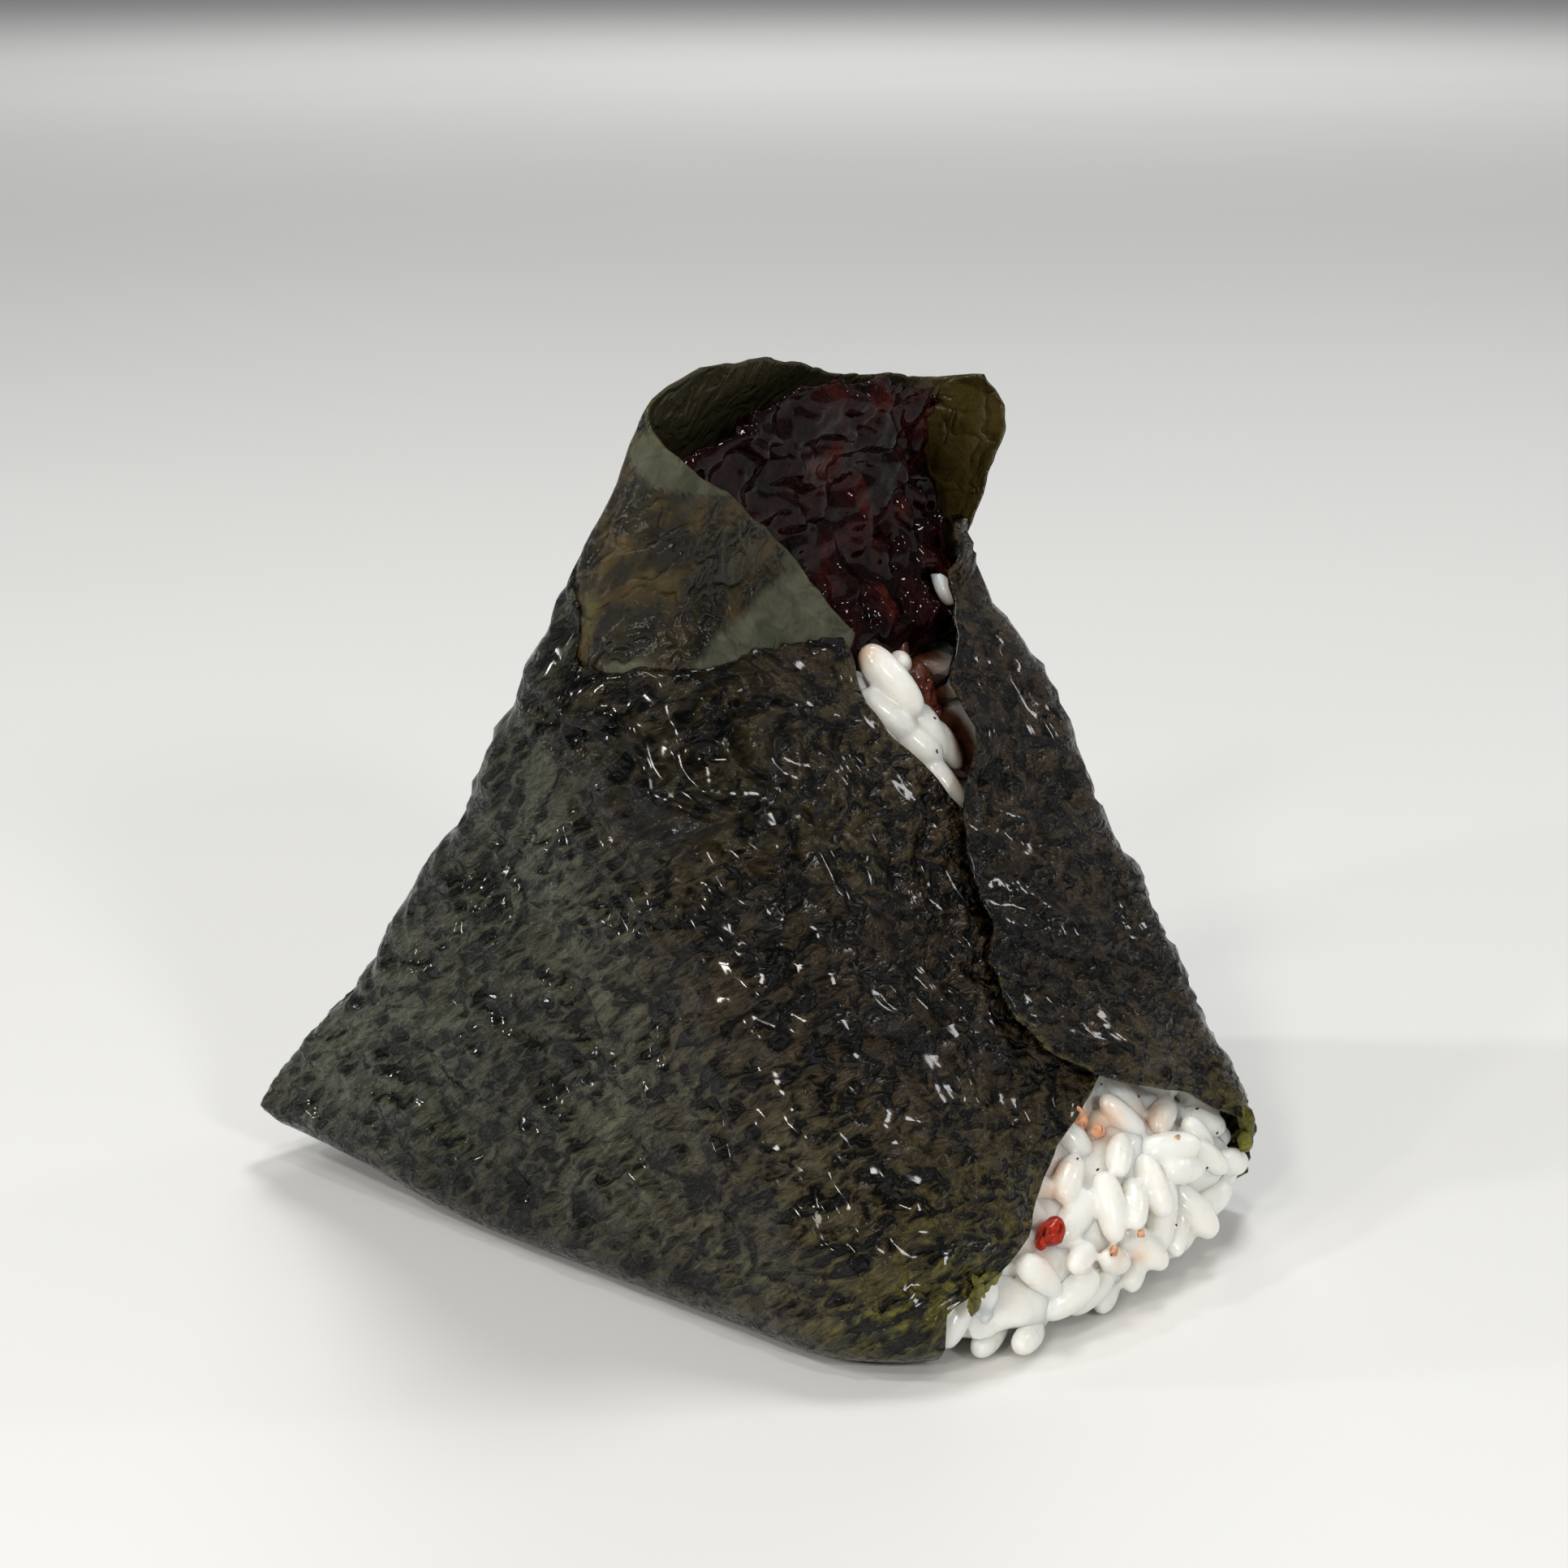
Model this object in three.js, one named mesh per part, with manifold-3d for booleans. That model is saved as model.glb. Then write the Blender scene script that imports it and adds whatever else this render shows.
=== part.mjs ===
// A rice ball wrapped in nori, in millimetres. X runs along the two large faces, Y across them, Z up.
// The wrap is open along the +X slope, where the rice and, above it, the filling show.
import * as THREE from "three";
import { mergeVertices } from "three/addons/utils/BufferGeometryUtils.js";
import Module from "manifold-3d";

const wasm = await Module();
wasm.setup();
const { lerp, smoothstep, clamp } = THREE.MathUtils;

// ---- The ball: a three-sided prism lying on one side, with rounded edges ----
const BASE_LEFT = -39.5; // where the left slope reaches the base
const BASE_RIGHT = 42.4; // where the right slope reaches the base
const BASE_DEPTH = 57; // between the two large faces, at the base
const LEFT_RUN = 0.625; // how far the left slope moves in for each mm of height
const RIGHT_RUN = 0.655; // how far the right slope moves in for each mm of height
const LEFT_FOOT = 4; // the left slope starts above this height
const RIGHT_FOOT = 9; // the right slope starts above this height
const FACE_LEAN = 0.065; // how far each large face leans in for each mm of height
const APEX_WIDTH = 9; // least width of the top, from slope to slope
const FRONT_LEAN = 2.3; // how far the open top leans back to the left, at the front
const BACK_LEAN = 5; // and at the back
const PINCH = 1.5; // how far the open top is pressed in at the front
const FOOT_SOFTNESS = 3; // how gently a slope starts at its foot

// ---- Nori ----
const NORI_THICKNESS = 0.45;
const GAP = 0.35; // left between any two pieces that touch
const INNER_LAYER = 0.55; // a sheet's middle, outside the ball's own surface
const LAP_STEP = 1.15; // the main sheet stands this much further out where it laps the collar
const FLAP_LIFT = 1.7; // the back flap stands this far off the front flap
const HEM_RADIUS = 4; // the main sheet turns under the base with this radius
const HEM_REACH = 5; // and runs this far in, where the base panel takes over
const HEM_RISE = 0.15; // the turned hem lies this far above the base panel's underside
const PANEL_LAP = 2.5; // how far the base panel laps the turned hem
const RIPPLE = 0.42; // height of the slow waves in the sheets
const EAR_REACH = 5; // the empty pinched corner of the wrap, at the front left of the base
const EAR_HEIGHT = 48; // the pinch dies out at this height
const EAR_LIFT = 3.2; // that corner is lifted off the table

// ---- Rice ----
const GRAIN_LENGTH = 7.6;
const GRAIN_WIDTH = 3.9;
const RICE_INSET = 0.9; // the bare rice's surface lies this far inside the ball's own
const RICE_TOP = 57.8;
const RICE_DENT = 1.6; // how far it has sunk behind the back flap's upper edge
const RICE_BULGE = 2.6; // how far the rice swells out where no nori holds it

const SLOPE_OUT = new THREE.Vector3(1, 0, RIGHT_RUN).normalize();
const SLOPE_UP = new THREE.Vector3(-RIGHT_RUN, 0, 1).normalize();

/** Rounded maximum of two numbers. */
function softMax(a, b, softness) {
  return (a + b + Math.hypot(a - b, softness)) / 2;
}

/** Piecewise-linear curve through [input, output] points, the inputs rising. */
function curve(points, input) {
  if (input <= points[0][0]) return points[0][1];
  for (let i = 1; i < points.length; i++) {
    const [from, low] = points[i - 1];
    const [to, high] = points[i];
    if (input <= to) return lerp(low, high, (input - from) / (to - from));
  }
  return points[points.length - 1][1];
}

/** Slow waves of the wrap and of the rice under it, in mm outwards. */
function ripple(x, y, z) {
  const slow = Math.sin(0.21 * x + 0.33 * z + 0.6) * Math.cos(0.27 * y - 0.14 * z);
  const quick = 0.6 * Math.sin(0.47 * z - 0.36 * x + 0.24 * y + 1.7);
  return RIPPLE * (slow + quick) * smoothstep(z, 2, 12);
}

/** How far the base is lifted off the table at x, for a point at height z. */
function lift(x, z) {
  return EAR_LIFT * smoothstep(-x, 10, 42) * clamp(1 - z / 16, 0, 1);
}

/** The sides of the ball at a height, drawn in by inset: left and right x, and half its depth. */
function extent(z, inset = 0) {
  const left = BASE_LEFT + LEFT_RUN * (softMax(z - LEFT_FOOT, 0, FOOT_SOFTNESS) - FOOT_SOFTNESS / 2);
  const planar = BASE_RIGHT - RIGHT_RUN * (softMax(z - RIGHT_FOOT, 0, FOOT_SOFTNESS) - FOOT_SOFTNESS / 2);
  const width = softMax(planar - left, APEX_WIDTH, 5);
  const half = BASE_DEPTH / 2 - FACE_LEAN * z;
  return { left: left + inset, right: left + width - inset, half: half - inset };
}

/** The four upright edges at a height. Above the rice they lean left and the left side twists a little. */
function edges(z, inset = 0) {
  const { left, right, half } = extent(z, inset);
  const ear = EAR_REACH * clamp(1 - z / EAR_HEIGHT, 0, 1);
  const high = smoothstep(z, 58, 82);
  const frontLeft = new THREE.Vector2(left - ear - FRONT_LEAN * high, -half + PINCH * high);
  const backLeft = new THREE.Vector2(left - 0.6 * ear - BACK_LEAN * high, half);
  const backRight = new THREE.Vector2(right - BACK_LEAN * high, half);
  const frontRight = new THREE.Vector2(right - BACK_LEAN * high, -half);
  return { frontLeft, backLeft, backRight, frontRight };
}

/**
 * A path through points whose inner points are corners rounded by radii, all turning right.
 * at(s) gives the place and the way out at distance s; marks lists where each arc starts and ends.
 */
function roundedPath(points, radii) {
  const pieces = [];
  const marks = [];
  let length = 0;
  let from = points[0];
  const add = (piece) => {
    pieces.push({ ...piece, start: length });
    length += piece.size;
    marks.push(length);
  };
  const addLine = (to) => {
    const along = to.clone().sub(from);
    const size = along.length();
    along.divideScalar(size);
    add({ size, origin: from, along, out: new THREE.Vector2(-along.y, along.x) });
  };
  for (let i = 1; i < points.length - 1; i++) {
    const into = points[i].clone().sub(points[i - 1]).normalize();
    const onward = points[i + 1].clone().sub(points[i]).normalize();
    const turn = Math.acos(clamp(into.dot(onward), -1, 1));
    const radius = radii[i - 1];
    const cut = radius * Math.tan(turn / 2);
    const start = points[i].clone().addScaledVector(into, -cut);
    const out = new THREE.Vector2(-into.y, into.x);
    addLine(start);
    add({ size: radius * turn, centre: start.clone().addScaledVector(out, -radius), out, radius });
    from = points[i].clone().addScaledVector(onward, cut);
  }
  addLine(points[points.length - 1]);
  const centre = new THREE.Vector2();
  const at = (s) => {
    const piece = pieces.findLast((p) => s >= p.start) ?? pieces[0];
    const along = s - piece.start;
    if (!piece.radius) return { place: piece.origin.clone().addScaledVector(piece.along, along), out: piece.out };
    const out = piece.out.clone().rotateAround(centre, -along / piece.radius);
    return { place: piece.centre.clone().addScaledVector(out, piece.radius), out };
  };
  return { at, length, marks: marks.slice(0, -1) };
}

/**
 * Radii of the four edges at a height, in the order front right, front left, back left, back right.
 * None is smaller than least, as far as the width allows.
 */
function edgeRadii(z, { frontLeft, backLeft, backRight, frontRight }, least = 0) {
  const open = smoothstep(z, 4, 30);
  const front = frontRight.x - frontLeft.x;
  const back = backRight.x - backLeft.x;
  return [
    Math.min(Math.max(least, 13), 0.6 * front),
    Math.min(Math.max(least, lerp(1.2, 5, open)), 0.35 * front),
    Math.min(Math.max(least, lerp(2, 5, open)), 0.35 * back),
    Math.min(Math.max(least, 4.5), 0.4 * back),
  ];
}

/** Place on a skin: a path's point pushed out by distance, its outward side turned down by turn. */
function skinPoint(path, s, z, distance, turn = 0) {
  const { place, out } = path.at(s);
  const push = distance + ripple(place.x, place.y, z);
  const level = push * Math.cos(turn);
  const height = z + lift(place.x, z) - push * Math.sin(turn);
  return new THREE.Vector3(place.x + out.x * level, place.y + out.y * level, height);
}

/** Closed geometry from corner positions and triangles that index them. */
function closedGeometry(places, triangles) {
  const geometry = new THREE.BufferGeometry();
  geometry.setAttribute("position", new THREE.Float32BufferAttribute(places.flatMap((p) => p.toArray()), 3));
  geometry.setIndex(triangles);
  return geometry;
}

/** A thin sheet from rows of { inside, outside } points, both faces split alike. */
function sheetGeometry(rows) {
  const columns = rows[0].length;
  const places = [];
  const triangles = [];
  rows.forEach((row) => row.forEach(({ inside, outside }) => places.push(inside, outside)));
  const inner = (j, i) => 2 * (j * columns + i);
  const outer = (j, i) => inner(j, i) + 1;
  const quad = (a, b, c, d) => triangles.push(a, b, c, a, c, d);
  for (let j = 0; j < rows.length - 1; j++) {
    for (let i = 0; i < columns - 1; i++) {
      quad(outer(j, i), outer(j + 1, i), outer(j + 1, i + 1), outer(j, i + 1));
      quad(inner(j, i + 1), inner(j + 1, i + 1), inner(j + 1, i), inner(j, i));
    }
    const last = columns - 1;
    quad(inner(j, 0), inner(j + 1, 0), outer(j + 1, 0), outer(j, 0));
    quad(outer(j, last), outer(j + 1, last), inner(j + 1, last), inner(j, last));
  }
  const top = rows.length - 1;
  for (let i = 0; i < columns - 1; i++) {
    quad(inner(0, i), outer(0, i), outer(0, i + 1), inner(0, i + 1));
    quad(outer(top, i), inner(top, i), inner(top, i + 1), outer(top, i + 1));
  }
  return closedGeometry(places, triangles);
}

/** A closed solid from rings of equal count, lowest first, with a fan at each end. */
function loftGeometry(rings) {
  const count = rings[0].length;
  const places = rings.flat();
  const triangles = [];
  const middle = (ring) => ring.reduce((sum, p) => sum.add(p), new THREE.Vector3()).divideScalar(count);
  const bottom = places.push(middle(rings[0])) - 1;
  const top = places.push(middle(rings[rings.length - 1])) - 1;
  const start = (rings.length - 1) * count;
  for (let i = 0; i < count; i++) {
    const next = (i + 1) % count;
    for (let j = 0; j < start; j += count) {
      triangles.push(j + i, j + count + i, j + count + next, j + i, j + count + next, j + next);
    }
    triangles.push(bottom, i, next);
    triangles.push(top, start + next, start + i);
  }
  return closedGeometry(places, triangles);
}

/** Turns a geometry into a solid that can be joined and cut. */
function solid(geometry) {
  const bare = geometry.clone();
  bare.deleteAttribute("normal");
  bare.deleteAttribute("uv");
  const merged = mergeVertices(bare, 1e-4);
  const triVerts = new Uint32Array(merged.index.array);
  return new wasm.Manifold(
    new wasm.Mesh({ numProp: 3, vertProperties: merged.attributes.position.array, triVerts }),
  );
}

/** Turns a solid back into a geometry. */
function geometryOf(made) {
  const mesh = made.getMesh();
  const geometry = new THREE.BufferGeometry();
  geometry.setAttribute("position", new THREE.BufferAttribute(mesh.vertProperties.slice(), 3));
  geometry.setIndex([...mesh.triVerts]);
  return geometry;
}

/** Splits the stretches between stations into equal steps, counts[i] steps in stretch i. */
function stepsBetween(stations, counts) {
  const steps = [stations[0]];
  counts.forEach((count, i) => {
    for (let k = 1; k <= count; k++) steps.push(lerp(stations[i], stations[i + 1], k / count));
  });
  return steps;
}

// ---- Main sheet: round both large faces and the left slope, a flap on the right slope from each side ----

// Free edges of the two flaps on the right slope, as [height, y].
const FRONT_FLAP_EDGE = [
  [0, -22],
  [6.5, -21.5],
  [8.5, -17],
  [10.5, -12.4],
  [14.5, -4.4],
  [16.2, -2.4],
  [17.6, 2.5],
  [20, 7],
  [34, 7.5],
  [43, 4.5],
  [47, 2],
  [50.5, -1.4],
  [54, -2.7],
  [57, -1.6],
  [60, -2.2],
];
const BACK_FLAP_EDGE = [
  [0, 32],
  [6.5, 31],
  [10.5, 26.5],
  [12.5, 22.8],
  [14.5, 19],
  [16.2, 17],
  [17.6, 12.8],
  [20, 6.2],
  [23.5, 0.8],
  [27, -2.2],
  [31, -1.6],
  [35, 0.7],
  [43, 2.8],
  [47, 6.4],
  [50.5, 9.7],
  [54, 9.4],
  [57, 11],
];
// Upper edge of the main sheet: its height along the sheet, 0 at the front flap's edge, 1 at the back flap's.
const MAIN_TOP = [
  [0, 59.6],
  [0.11, 59.9],
  [0.2, 58.9],
  [0.31, 59.6],
  [0.38, 65],
  [0.44, 70],
  [0.58, 71],
  [0.68, 65],
  [0.84, 61.8],
  [0.89, 60],
  [1, 58],
];
const MAIN_COLUMNS = [5, 4, 8, 3, 7, 3, 8, 2, 5];
const MAIN_HEIGHTS = [4, 6.5, 8.5, 10.5, 12.5, 14.5, 16.2, 17.6, 20, 23.5, 27, 31, 35, 39, 43, 47, 50.5, 54, 57];
const LEAST_COLUMN = 0.8; // columns never come closer than this

/** The main sheet's path at a height: along the right slope, round the ball and along the slope again. */
function mainPath(z, inset) {
  const corners = edges(z, inset);
  const { frontLeft, backLeft, backRight, frontRight } = corners;
  const radii = edgeRadii(z, corners);
  return roundedPath([backRight, frontRight, frontLeft, backLeft, backRight, frontRight], radii);
}

/** Distances along the main path at which the sheet has its columns. */
function mainColumns(path, z, half) {
  const toFront = half * (1 - curve(FRONT_FLAP_EDGE, z) / extent(z).half);
  const [, , , , , , backTurn, backTurnEnd] = path.marks;
  const corner = (backTurn + backTurnEnd) / 2;
  const toBack = corner + half - curve(BACK_FLAP_EDGE, z);
  const before = [0];
  MAIN_COLUMNS.forEach((count) => before.push(before[before.length - 1] + count));
  const total = before[before.length - 1];
  const stations = [toFront, ...path.marks, toBack].map((mark, i) => {
    const least = toFront + LEAST_COLUMN * before[i];
    const most = toBack - LEAST_COLUMN * (total - before[i]);
    return clamp(mark, least, most);
  });
  return stepsBetween(stations, MAIN_COLUMNS);
}

/** How far the main sheet's middle stands off the rice. */
function mainOffset(z, s, path) {
  const backTurnEnd = path.marks[7];
  const flap = smoothstep(s, backTurnEnd - 4, backTurnEnd + 12);
  return INNER_LAYER + LAP_STEP * smoothstep(z, 42, 51) + FLAP_LIFT * flap;
}

/** One row of the main sheet. Its upper rows bend up and down with the sheet's upper edge. */
function mainRow(height, inset, turn) {
  const { half } = extent(height, inset);
  const flat = mainPath(height, inset);
  const count = mainColumns(flat, height, half).length;
  const row = [];
  for (let i = 0; i < count; i++) {
    const top = curve(MAIN_TOP, i / (count - 1));
    const z = height <= 43 ? height : lerp(43, top, (height - 43) / (57 - 43));
    const path = height <= 43 ? flat : mainPath(z, inset);
    const s = mainColumns(path, z, extent(z, inset).half)[i];
    const middle = mainOffset(z, s, path);
    row.push({
      inside: skinPoint(path, s, z, middle - NORI_THICKNESS / 2, turn),
      outside: skinPoint(path, s, z, middle + NORI_THICKNESS / 2, turn),
    });
  }
  return row;
}

/** The rows that turn the main sheet under the base. */
function hemRows() {
  const middle = HEM_RISE + INNER_LAYER + NORI_THICKNESS / 2;
  const rows = [mainRow(middle, HEM_RADIUS + HEM_REACH, Math.PI / 2), mainRow(middle, HEM_RADIUS, Math.PI / 2)];
  for (const turn of [Math.PI / 3, Math.PI / 6]) {
    const height = middle + HEM_RADIUS * (1 - Math.sin(turn));
    rows.push(mainRow(height, HEM_RADIUS * (1 - Math.cos(turn)), turn));
  }
  return rows;
}

/** The panel under the base that closes the wrap. */
function basePanel() {
  const inset = HEM_RADIUS + HEM_REACH - PANEL_LAP;
  const { left, half } = extent(0, inset);
  const end = BASE_RIGHT - HEM_RADIUS;
  const across = [left, -30, -25, -20, -15, -10, end - 14, end - 5, end];
  const narrowing = [1, 1, 1, 1, 1, 1, 1, 0.8, 0.55];
  const rows = [-half, -half / 3, half / 3, half].map((y) =>
    across.map((x, i) => ({
      inside: new THREE.Vector3(x, y * narrowing[i], lift(x, 0) + NORI_THICKNESS),
      outside: new THREE.Vector3(x, y * narrowing[i], lift(x, 0)),
    })),
  );
  return sheetGeometry(rows);
}

function mainSheet() {
  const rows = [...hemRows(), ...MAIN_HEIGHTS.map((height) => mainRow(height, 0, 0))];
  return solid(sheetGeometry(rows)).add(solid(basePanel()));
}

// ---- Upper sheet: a collar round the top, its edge slanting over the front, standing free at the back ----

const COLLAR_FOOT = 53; // lower edge, tucked under the main sheet
// Upper edge of the collar: height at each distance from the front left edge, less than 0 on the front.
const COLLAR_TOP = [
  [-36, 59.7],
  [-31, 62.4],
  [-26, 66.9],
  [-22, 69.3],
  [-12, 75.1],
  [-8, 77],
  [-2, 81],
  [2, 84.6],
  [5, 86],
  [14, 85.8],
  [28, 82.8],
  [44, 80],
  [50, 80.4],
  [54, 79.5],
  [57, 76],
];
const COLLAR_FRONT = -36;
const COLLAR_BACK = 57;
const COLLAR_COLUMNS = [9, 3, 6, 3, 4];
const COLLAR_ROWS = [0, 0.12, 0.25, 0.38, 0.5, 0.62, 0.74, 0.85, 0.94, 1];

/** The collar's path at a height: like the main path, but straight on along the back face. */
function collarPath(z) {
  const corners = edges(z);
  const { frontLeft, backLeft, backRight, frontRight } = corners;
  const beyond = backLeft.clone().setX(backLeft.x + 40);
  const radii = edgeRadii(z, corners).slice(0, 3);
  return roundedPath([backRight, frontRight, frontLeft, backLeft, beyond], radii);
}

/** Distance along the path of the collar's free edge at the back, at a height. */
function collarBack(z) {
  return curve([[53, 54], [66, 54.5], [70, 55], [76, 54], [79, 52.5], [81, 50]], z);
}

function collarSheet() {
  const rows = COLLAR_ROWS.map((rise) => {
    const flat = collarPath(COLLAR_FOOT);
    const [, , leftTurn, leftTurnEnd, backTurn, backTurnEnd] = flat.marks;
    const zero = (leftTurn + leftTurnEnd) / 2;
    const marks = [COLLAR_FRONT, leftTurn - zero, leftTurnEnd - zero, backTurn - zero, backTurnEnd - zero, COLLAR_BACK];
    return stepsBetween(marks, COLLAR_COLUMNS).map((distance) => {
      const z = lerp(COLLAR_FOOT, curve(COLLAR_TOP, distance), rise);
      const path = collarPath(z);
      const corner = (path.marks[2] + path.marks[3]) / 2;
      const s = corner + Math.min(distance, collarBack(z));
      return {
        inside: skinPoint(path, s, z, INNER_LAYER - NORI_THICKNESS / 2),
        outside: skinPoint(path, s, z, INNER_LAYER + NORI_THICKNESS / 2),
      };
    });
  });
  return sheetGeometry(rows);
}

// ---- Rice and filling: rings that follow the wrap, drawn in ----

const RING_STEPS = [5, 3, 5, 2, 4, 2, 5, 2, 5];

/** The four upright edges of what the wrap holds. Low down these keep out of the wrap's empty corner. */
function innerEdges(z, inset) {
  if (z > EAR_HEIGHT) return edges(z, inset);
  const { left, right, half } = extent(z, inset);
  return {
    frontLeft: new THREE.Vector2(left, -half),
    backLeft: new THREE.Vector2(left, half),
    backRight: new THREE.Vector2(right, half),
    frontRight: new THREE.Vector2(right, -half),
  };
}

/** A closed ring round the ball at a height, its edges rounded by least or more, shaped by draw(place, out). */
function ring(z, inset, least, draw) {
  const corners = innerEdges(z, inset);
  const { frontLeft, backLeft, backRight, frontRight } = corners;
  const start = frontRight.clone().setY(0);
  const radii = edgeRadii(z, corners, least);
  const path = roundedPath([start, frontRight, frontLeft, backLeft, backRight, start], radii);
  const steps = stepsBetween([0, ...path.marks, path.length], RING_STEPS).slice(0, -1);
  return steps.map((s) => {
    const { place, out } = path.at(s);
    return draw(place, out);
  });
}

/** How deep a place on the right slope lies inside the part that is bare of nori, less than 0 outside it. */
function bareDepth(y, z) {
  const back = Math.min(curve(BACK_FLAP_EDGE, z), BASE_DEPTH / 2 - 2);
  return z > RICE_TOP - 1 ? -1 : Math.min(y - curve(FRONT_FLAP_EDGE, z), back - y);
}

/** How far the rice swells out, or sinks in if less than 0, at a place on the right slope. */
function riceBulge(place, z) {
  const onSlope = smoothstep(place.x, 26, 36);
  const depth = Math.min(bareDepth(place.y, z), bareDepth(place.y, z + 2.5));
  const dent = smoothstep(place.y, 7, 9.5) * smoothstep(z, 45, 50) * smoothstep(place.x, 4, 8);
  return RICE_BULGE * onSlope * smoothstep(depth, 1.5, 9) - RICE_DENT * dent;
}

const RICE_EDGE = 8; // least radius of the rice's upright edges
// Rice from its flat underside up, as [height, how far the ring is drawn in].
const RICE_FLOOR = NORI_THICKNESS + 0.4 + GAP;
const RICE_LEVELS = [
  [RICE_FLOOR, 5],
  [RICE_FLOOR + 0.7, 2.6],
  [RICE_FLOOR + 2, 1],
  [RICE_FLOOR + 5, 0],
  ...[8, 10.5, 13, 16, 20, 25, 30, 36, 42, 48, 53, RICE_TOP].map((z) => [z, 0]),
];

function riceCore() {
  const rings = RICE_LEVELS.map(([z, drawn]) =>
    ring(z, drawn + RICE_INSET, RICE_EDGE, (place, out) => {
      const push = riceBulge(place, z) + (place.x > 0 ? 0.6 * drawn * out.x : 0);
      return new THREE.Vector3(place.x + out.x * push, place.y + out.y * push, z + lift(place.x, z));
    }),
  );
  return solid(loftGeometry(rings));
}

/** Lumps of the filling, in mm, 0 at the wrap and less inwards. */
function fillingLumps(x, y, z) {
  const folds = Math.sin(0.62 * y + 0.5 * z) * Math.cos(0.58 * z - 0.33 * y + 0.8);
  const beads = 0.5 * Math.sin(1.1 * z + 0.9 * y + 0.4 * x);
  return -1 + 0.8 * (folds + beads);
}

// Height that the filling reaches along its left and its right side, by y.
const FILLING_TOP_LEFT = [
  [-22, 72],
  [-16, 78],
  [-8, 82.6],
  [-3, 84.2],
  [4, 83.8],
  [12, 82.1],
  [18, 80.4],
  [22, 77],
];
const FILLING_TOP_RIGHT = [
  [-22, 71],
  [-16, 76.5],
  [-8, 81.5],
  [-2, 83.6],
  [6, 83],
  [10, 80.6],
  [13.8, 73.5],
  [17.5, 69],
  [22, 65.5],
];
const FILLING_CORE_TOP = 51; // below this the filling is a plug in the middle of the rice
const FILLING_FOOT = 18;

// The plug as [height, half its depth].
const FILLING_PLUG = [
  [FILLING_FOOT, 5],
  [FILLING_FOOT + 3, 7.5],
  [32, 9],
  [42, 10],
  [FILLING_CORE_TOP, 11],
];
const FILLING_BASE = 58.3; // above this it fills the open top from side to side
const FILLING_INSET = 0.9;
const FILLING_SHARES = [0, 0.1, 0.25, 0.4, 0.55, 0.7, 0.82, 0.92, 0.98, 1]; // rings, as shares of the height
const FILLING_CROWN = 0.9; // from this share up the rings close in

/** A ring of the plug that runs down into the rice. */
function plugRing(z, reach) {
  const centre = new THREE.Vector2(1, 3);
  return ring(FILLING_BASE, FILLING_INSET, 0, (place) => {
    const away = place.clone().sub(centre).normalize();
    return new THREE.Vector3(centre.x + 0.8 * reach * away.x, centre.y + reach * away.y, z);
  });
}

/** A ring of the filling's upper part, at a share of the way up to its uneven top. */
function lumpRing(share, grow) {
  const shrink = 22 * Math.max(share - FILLING_CROWN, 0);
  const tops = ring(FILLING_BASE, FILLING_INSET, 0, ({ y }, out) =>
    lerp(curve(FILLING_TOP_LEFT, y), curve(FILLING_TOP_RIGHT, y), smoothstep(out.x, -1, 1)),
  );
  return tops.map((top, i) => {
    const z = lerp(FILLING_BASE, top, share);
    const level = ring(z, FILLING_INSET, 0, (place, out) => {
      const push = fillingLumps(place.x, place.y, z) + ripple(place.x, place.y, z) + grow - shrink;
      return new THREE.Vector3(place.x + out.x * push, place.y + out.y * push, z - (share === 0 ? grow : 0));
    });
    return level[i];
  });
}

/** The filling, or with grow the pocket that the rice leaves for it. */
function fillingSolid(grow) {
  const plug = FILLING_PLUG.map(([z, reach]) => plugRing(z - grow, reach + grow));
  const lumps = FILLING_SHARES.map((share) => lumpRing(share, grow));
  return solid(loftGeometry([...plug, ...lumps]));
}

/** A repeatable draw of numbers from 0 to 1. */
function drawFrom(seed) {
  let state = seed;
  return () => {
    state = (state * 1664525 + 1013904223) % 4294967296;
    return state / 4294967296;
  };
}

/** One grain, its long way along direction, lying flat on a surface that faces out. */
function grainGeometry(place, direction, out, size) {
  const grain = new THREE.SphereGeometry(0.5, 5, 4).rotateX(Math.PI / 2);
  grain.rotateX(Math.PI / 2);
  grain.scale(GRAIN_WIDTH * size, GRAIN_LENGTH * size, GRAIN_WIDTH * 0.85 * size);
  const side = new THREE.Vector3().crossVectors(direction, out).normalize();
  const facing = new THREE.Vector3().crossVectors(side, direction).normalize();
  grain.applyMatrix4(new THREE.Matrix4().makeBasis(side, direction, facing).setPosition(place));
  return grain;
}

// Bits of the filling that show in the rice.
const CRUMBS = [
  { y: -6.2, z: 8.6, size: [3, 3.6, 2.8] },
  { y: 2.6, z: 14.6, size: [1.6, 2.2, 3] },
  { y: 8, z: 52.6, size: [2.6, 2.6, 4.2] },
];

/** A small angular lump of the filling, stuck to the rice. */
function crumb(place, size) {
  return solid(new THREE.IcosahedronGeometry(0.5).scale(...size).translate(...place.toArray()));
}

/** A place on the right slope, by y and height, this far outside the bare rice. */
function onRice(y, z, outside) {
  const { right } = extent(z);
  return new THREE.Vector3(right - RICE_INSET + riceBulge(new THREE.Vector2(right, y), z) + outside, y, z);
}

// Grains that show in the gap between the flaps, each with its turn in degrees from level.
const GAP_GRAINS = [
  { y: 3.2, z: 54.4, turn: -50, size: 1.08 },
  { y: 6.6, z: 55.4, turn: 80, size: 0.72 },
  { y: 6, z: 51, turn: -46, size: 1 },
  { y: 6.4, z: 48.4, turn: -38, size: 0.9 },
  { y: 2.4, z: 50.6, turn: -60, size: 0.9 },
  { y: 4.6, z: 45.4, turn: -72, size: 1.02 },
];
const GRAIN_TRIES = 2600;
const GRAIN_SPACING = 3.5;
const GRAIN_ROOM = 1.12; // a grain is tested for room at this many times its size

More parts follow.
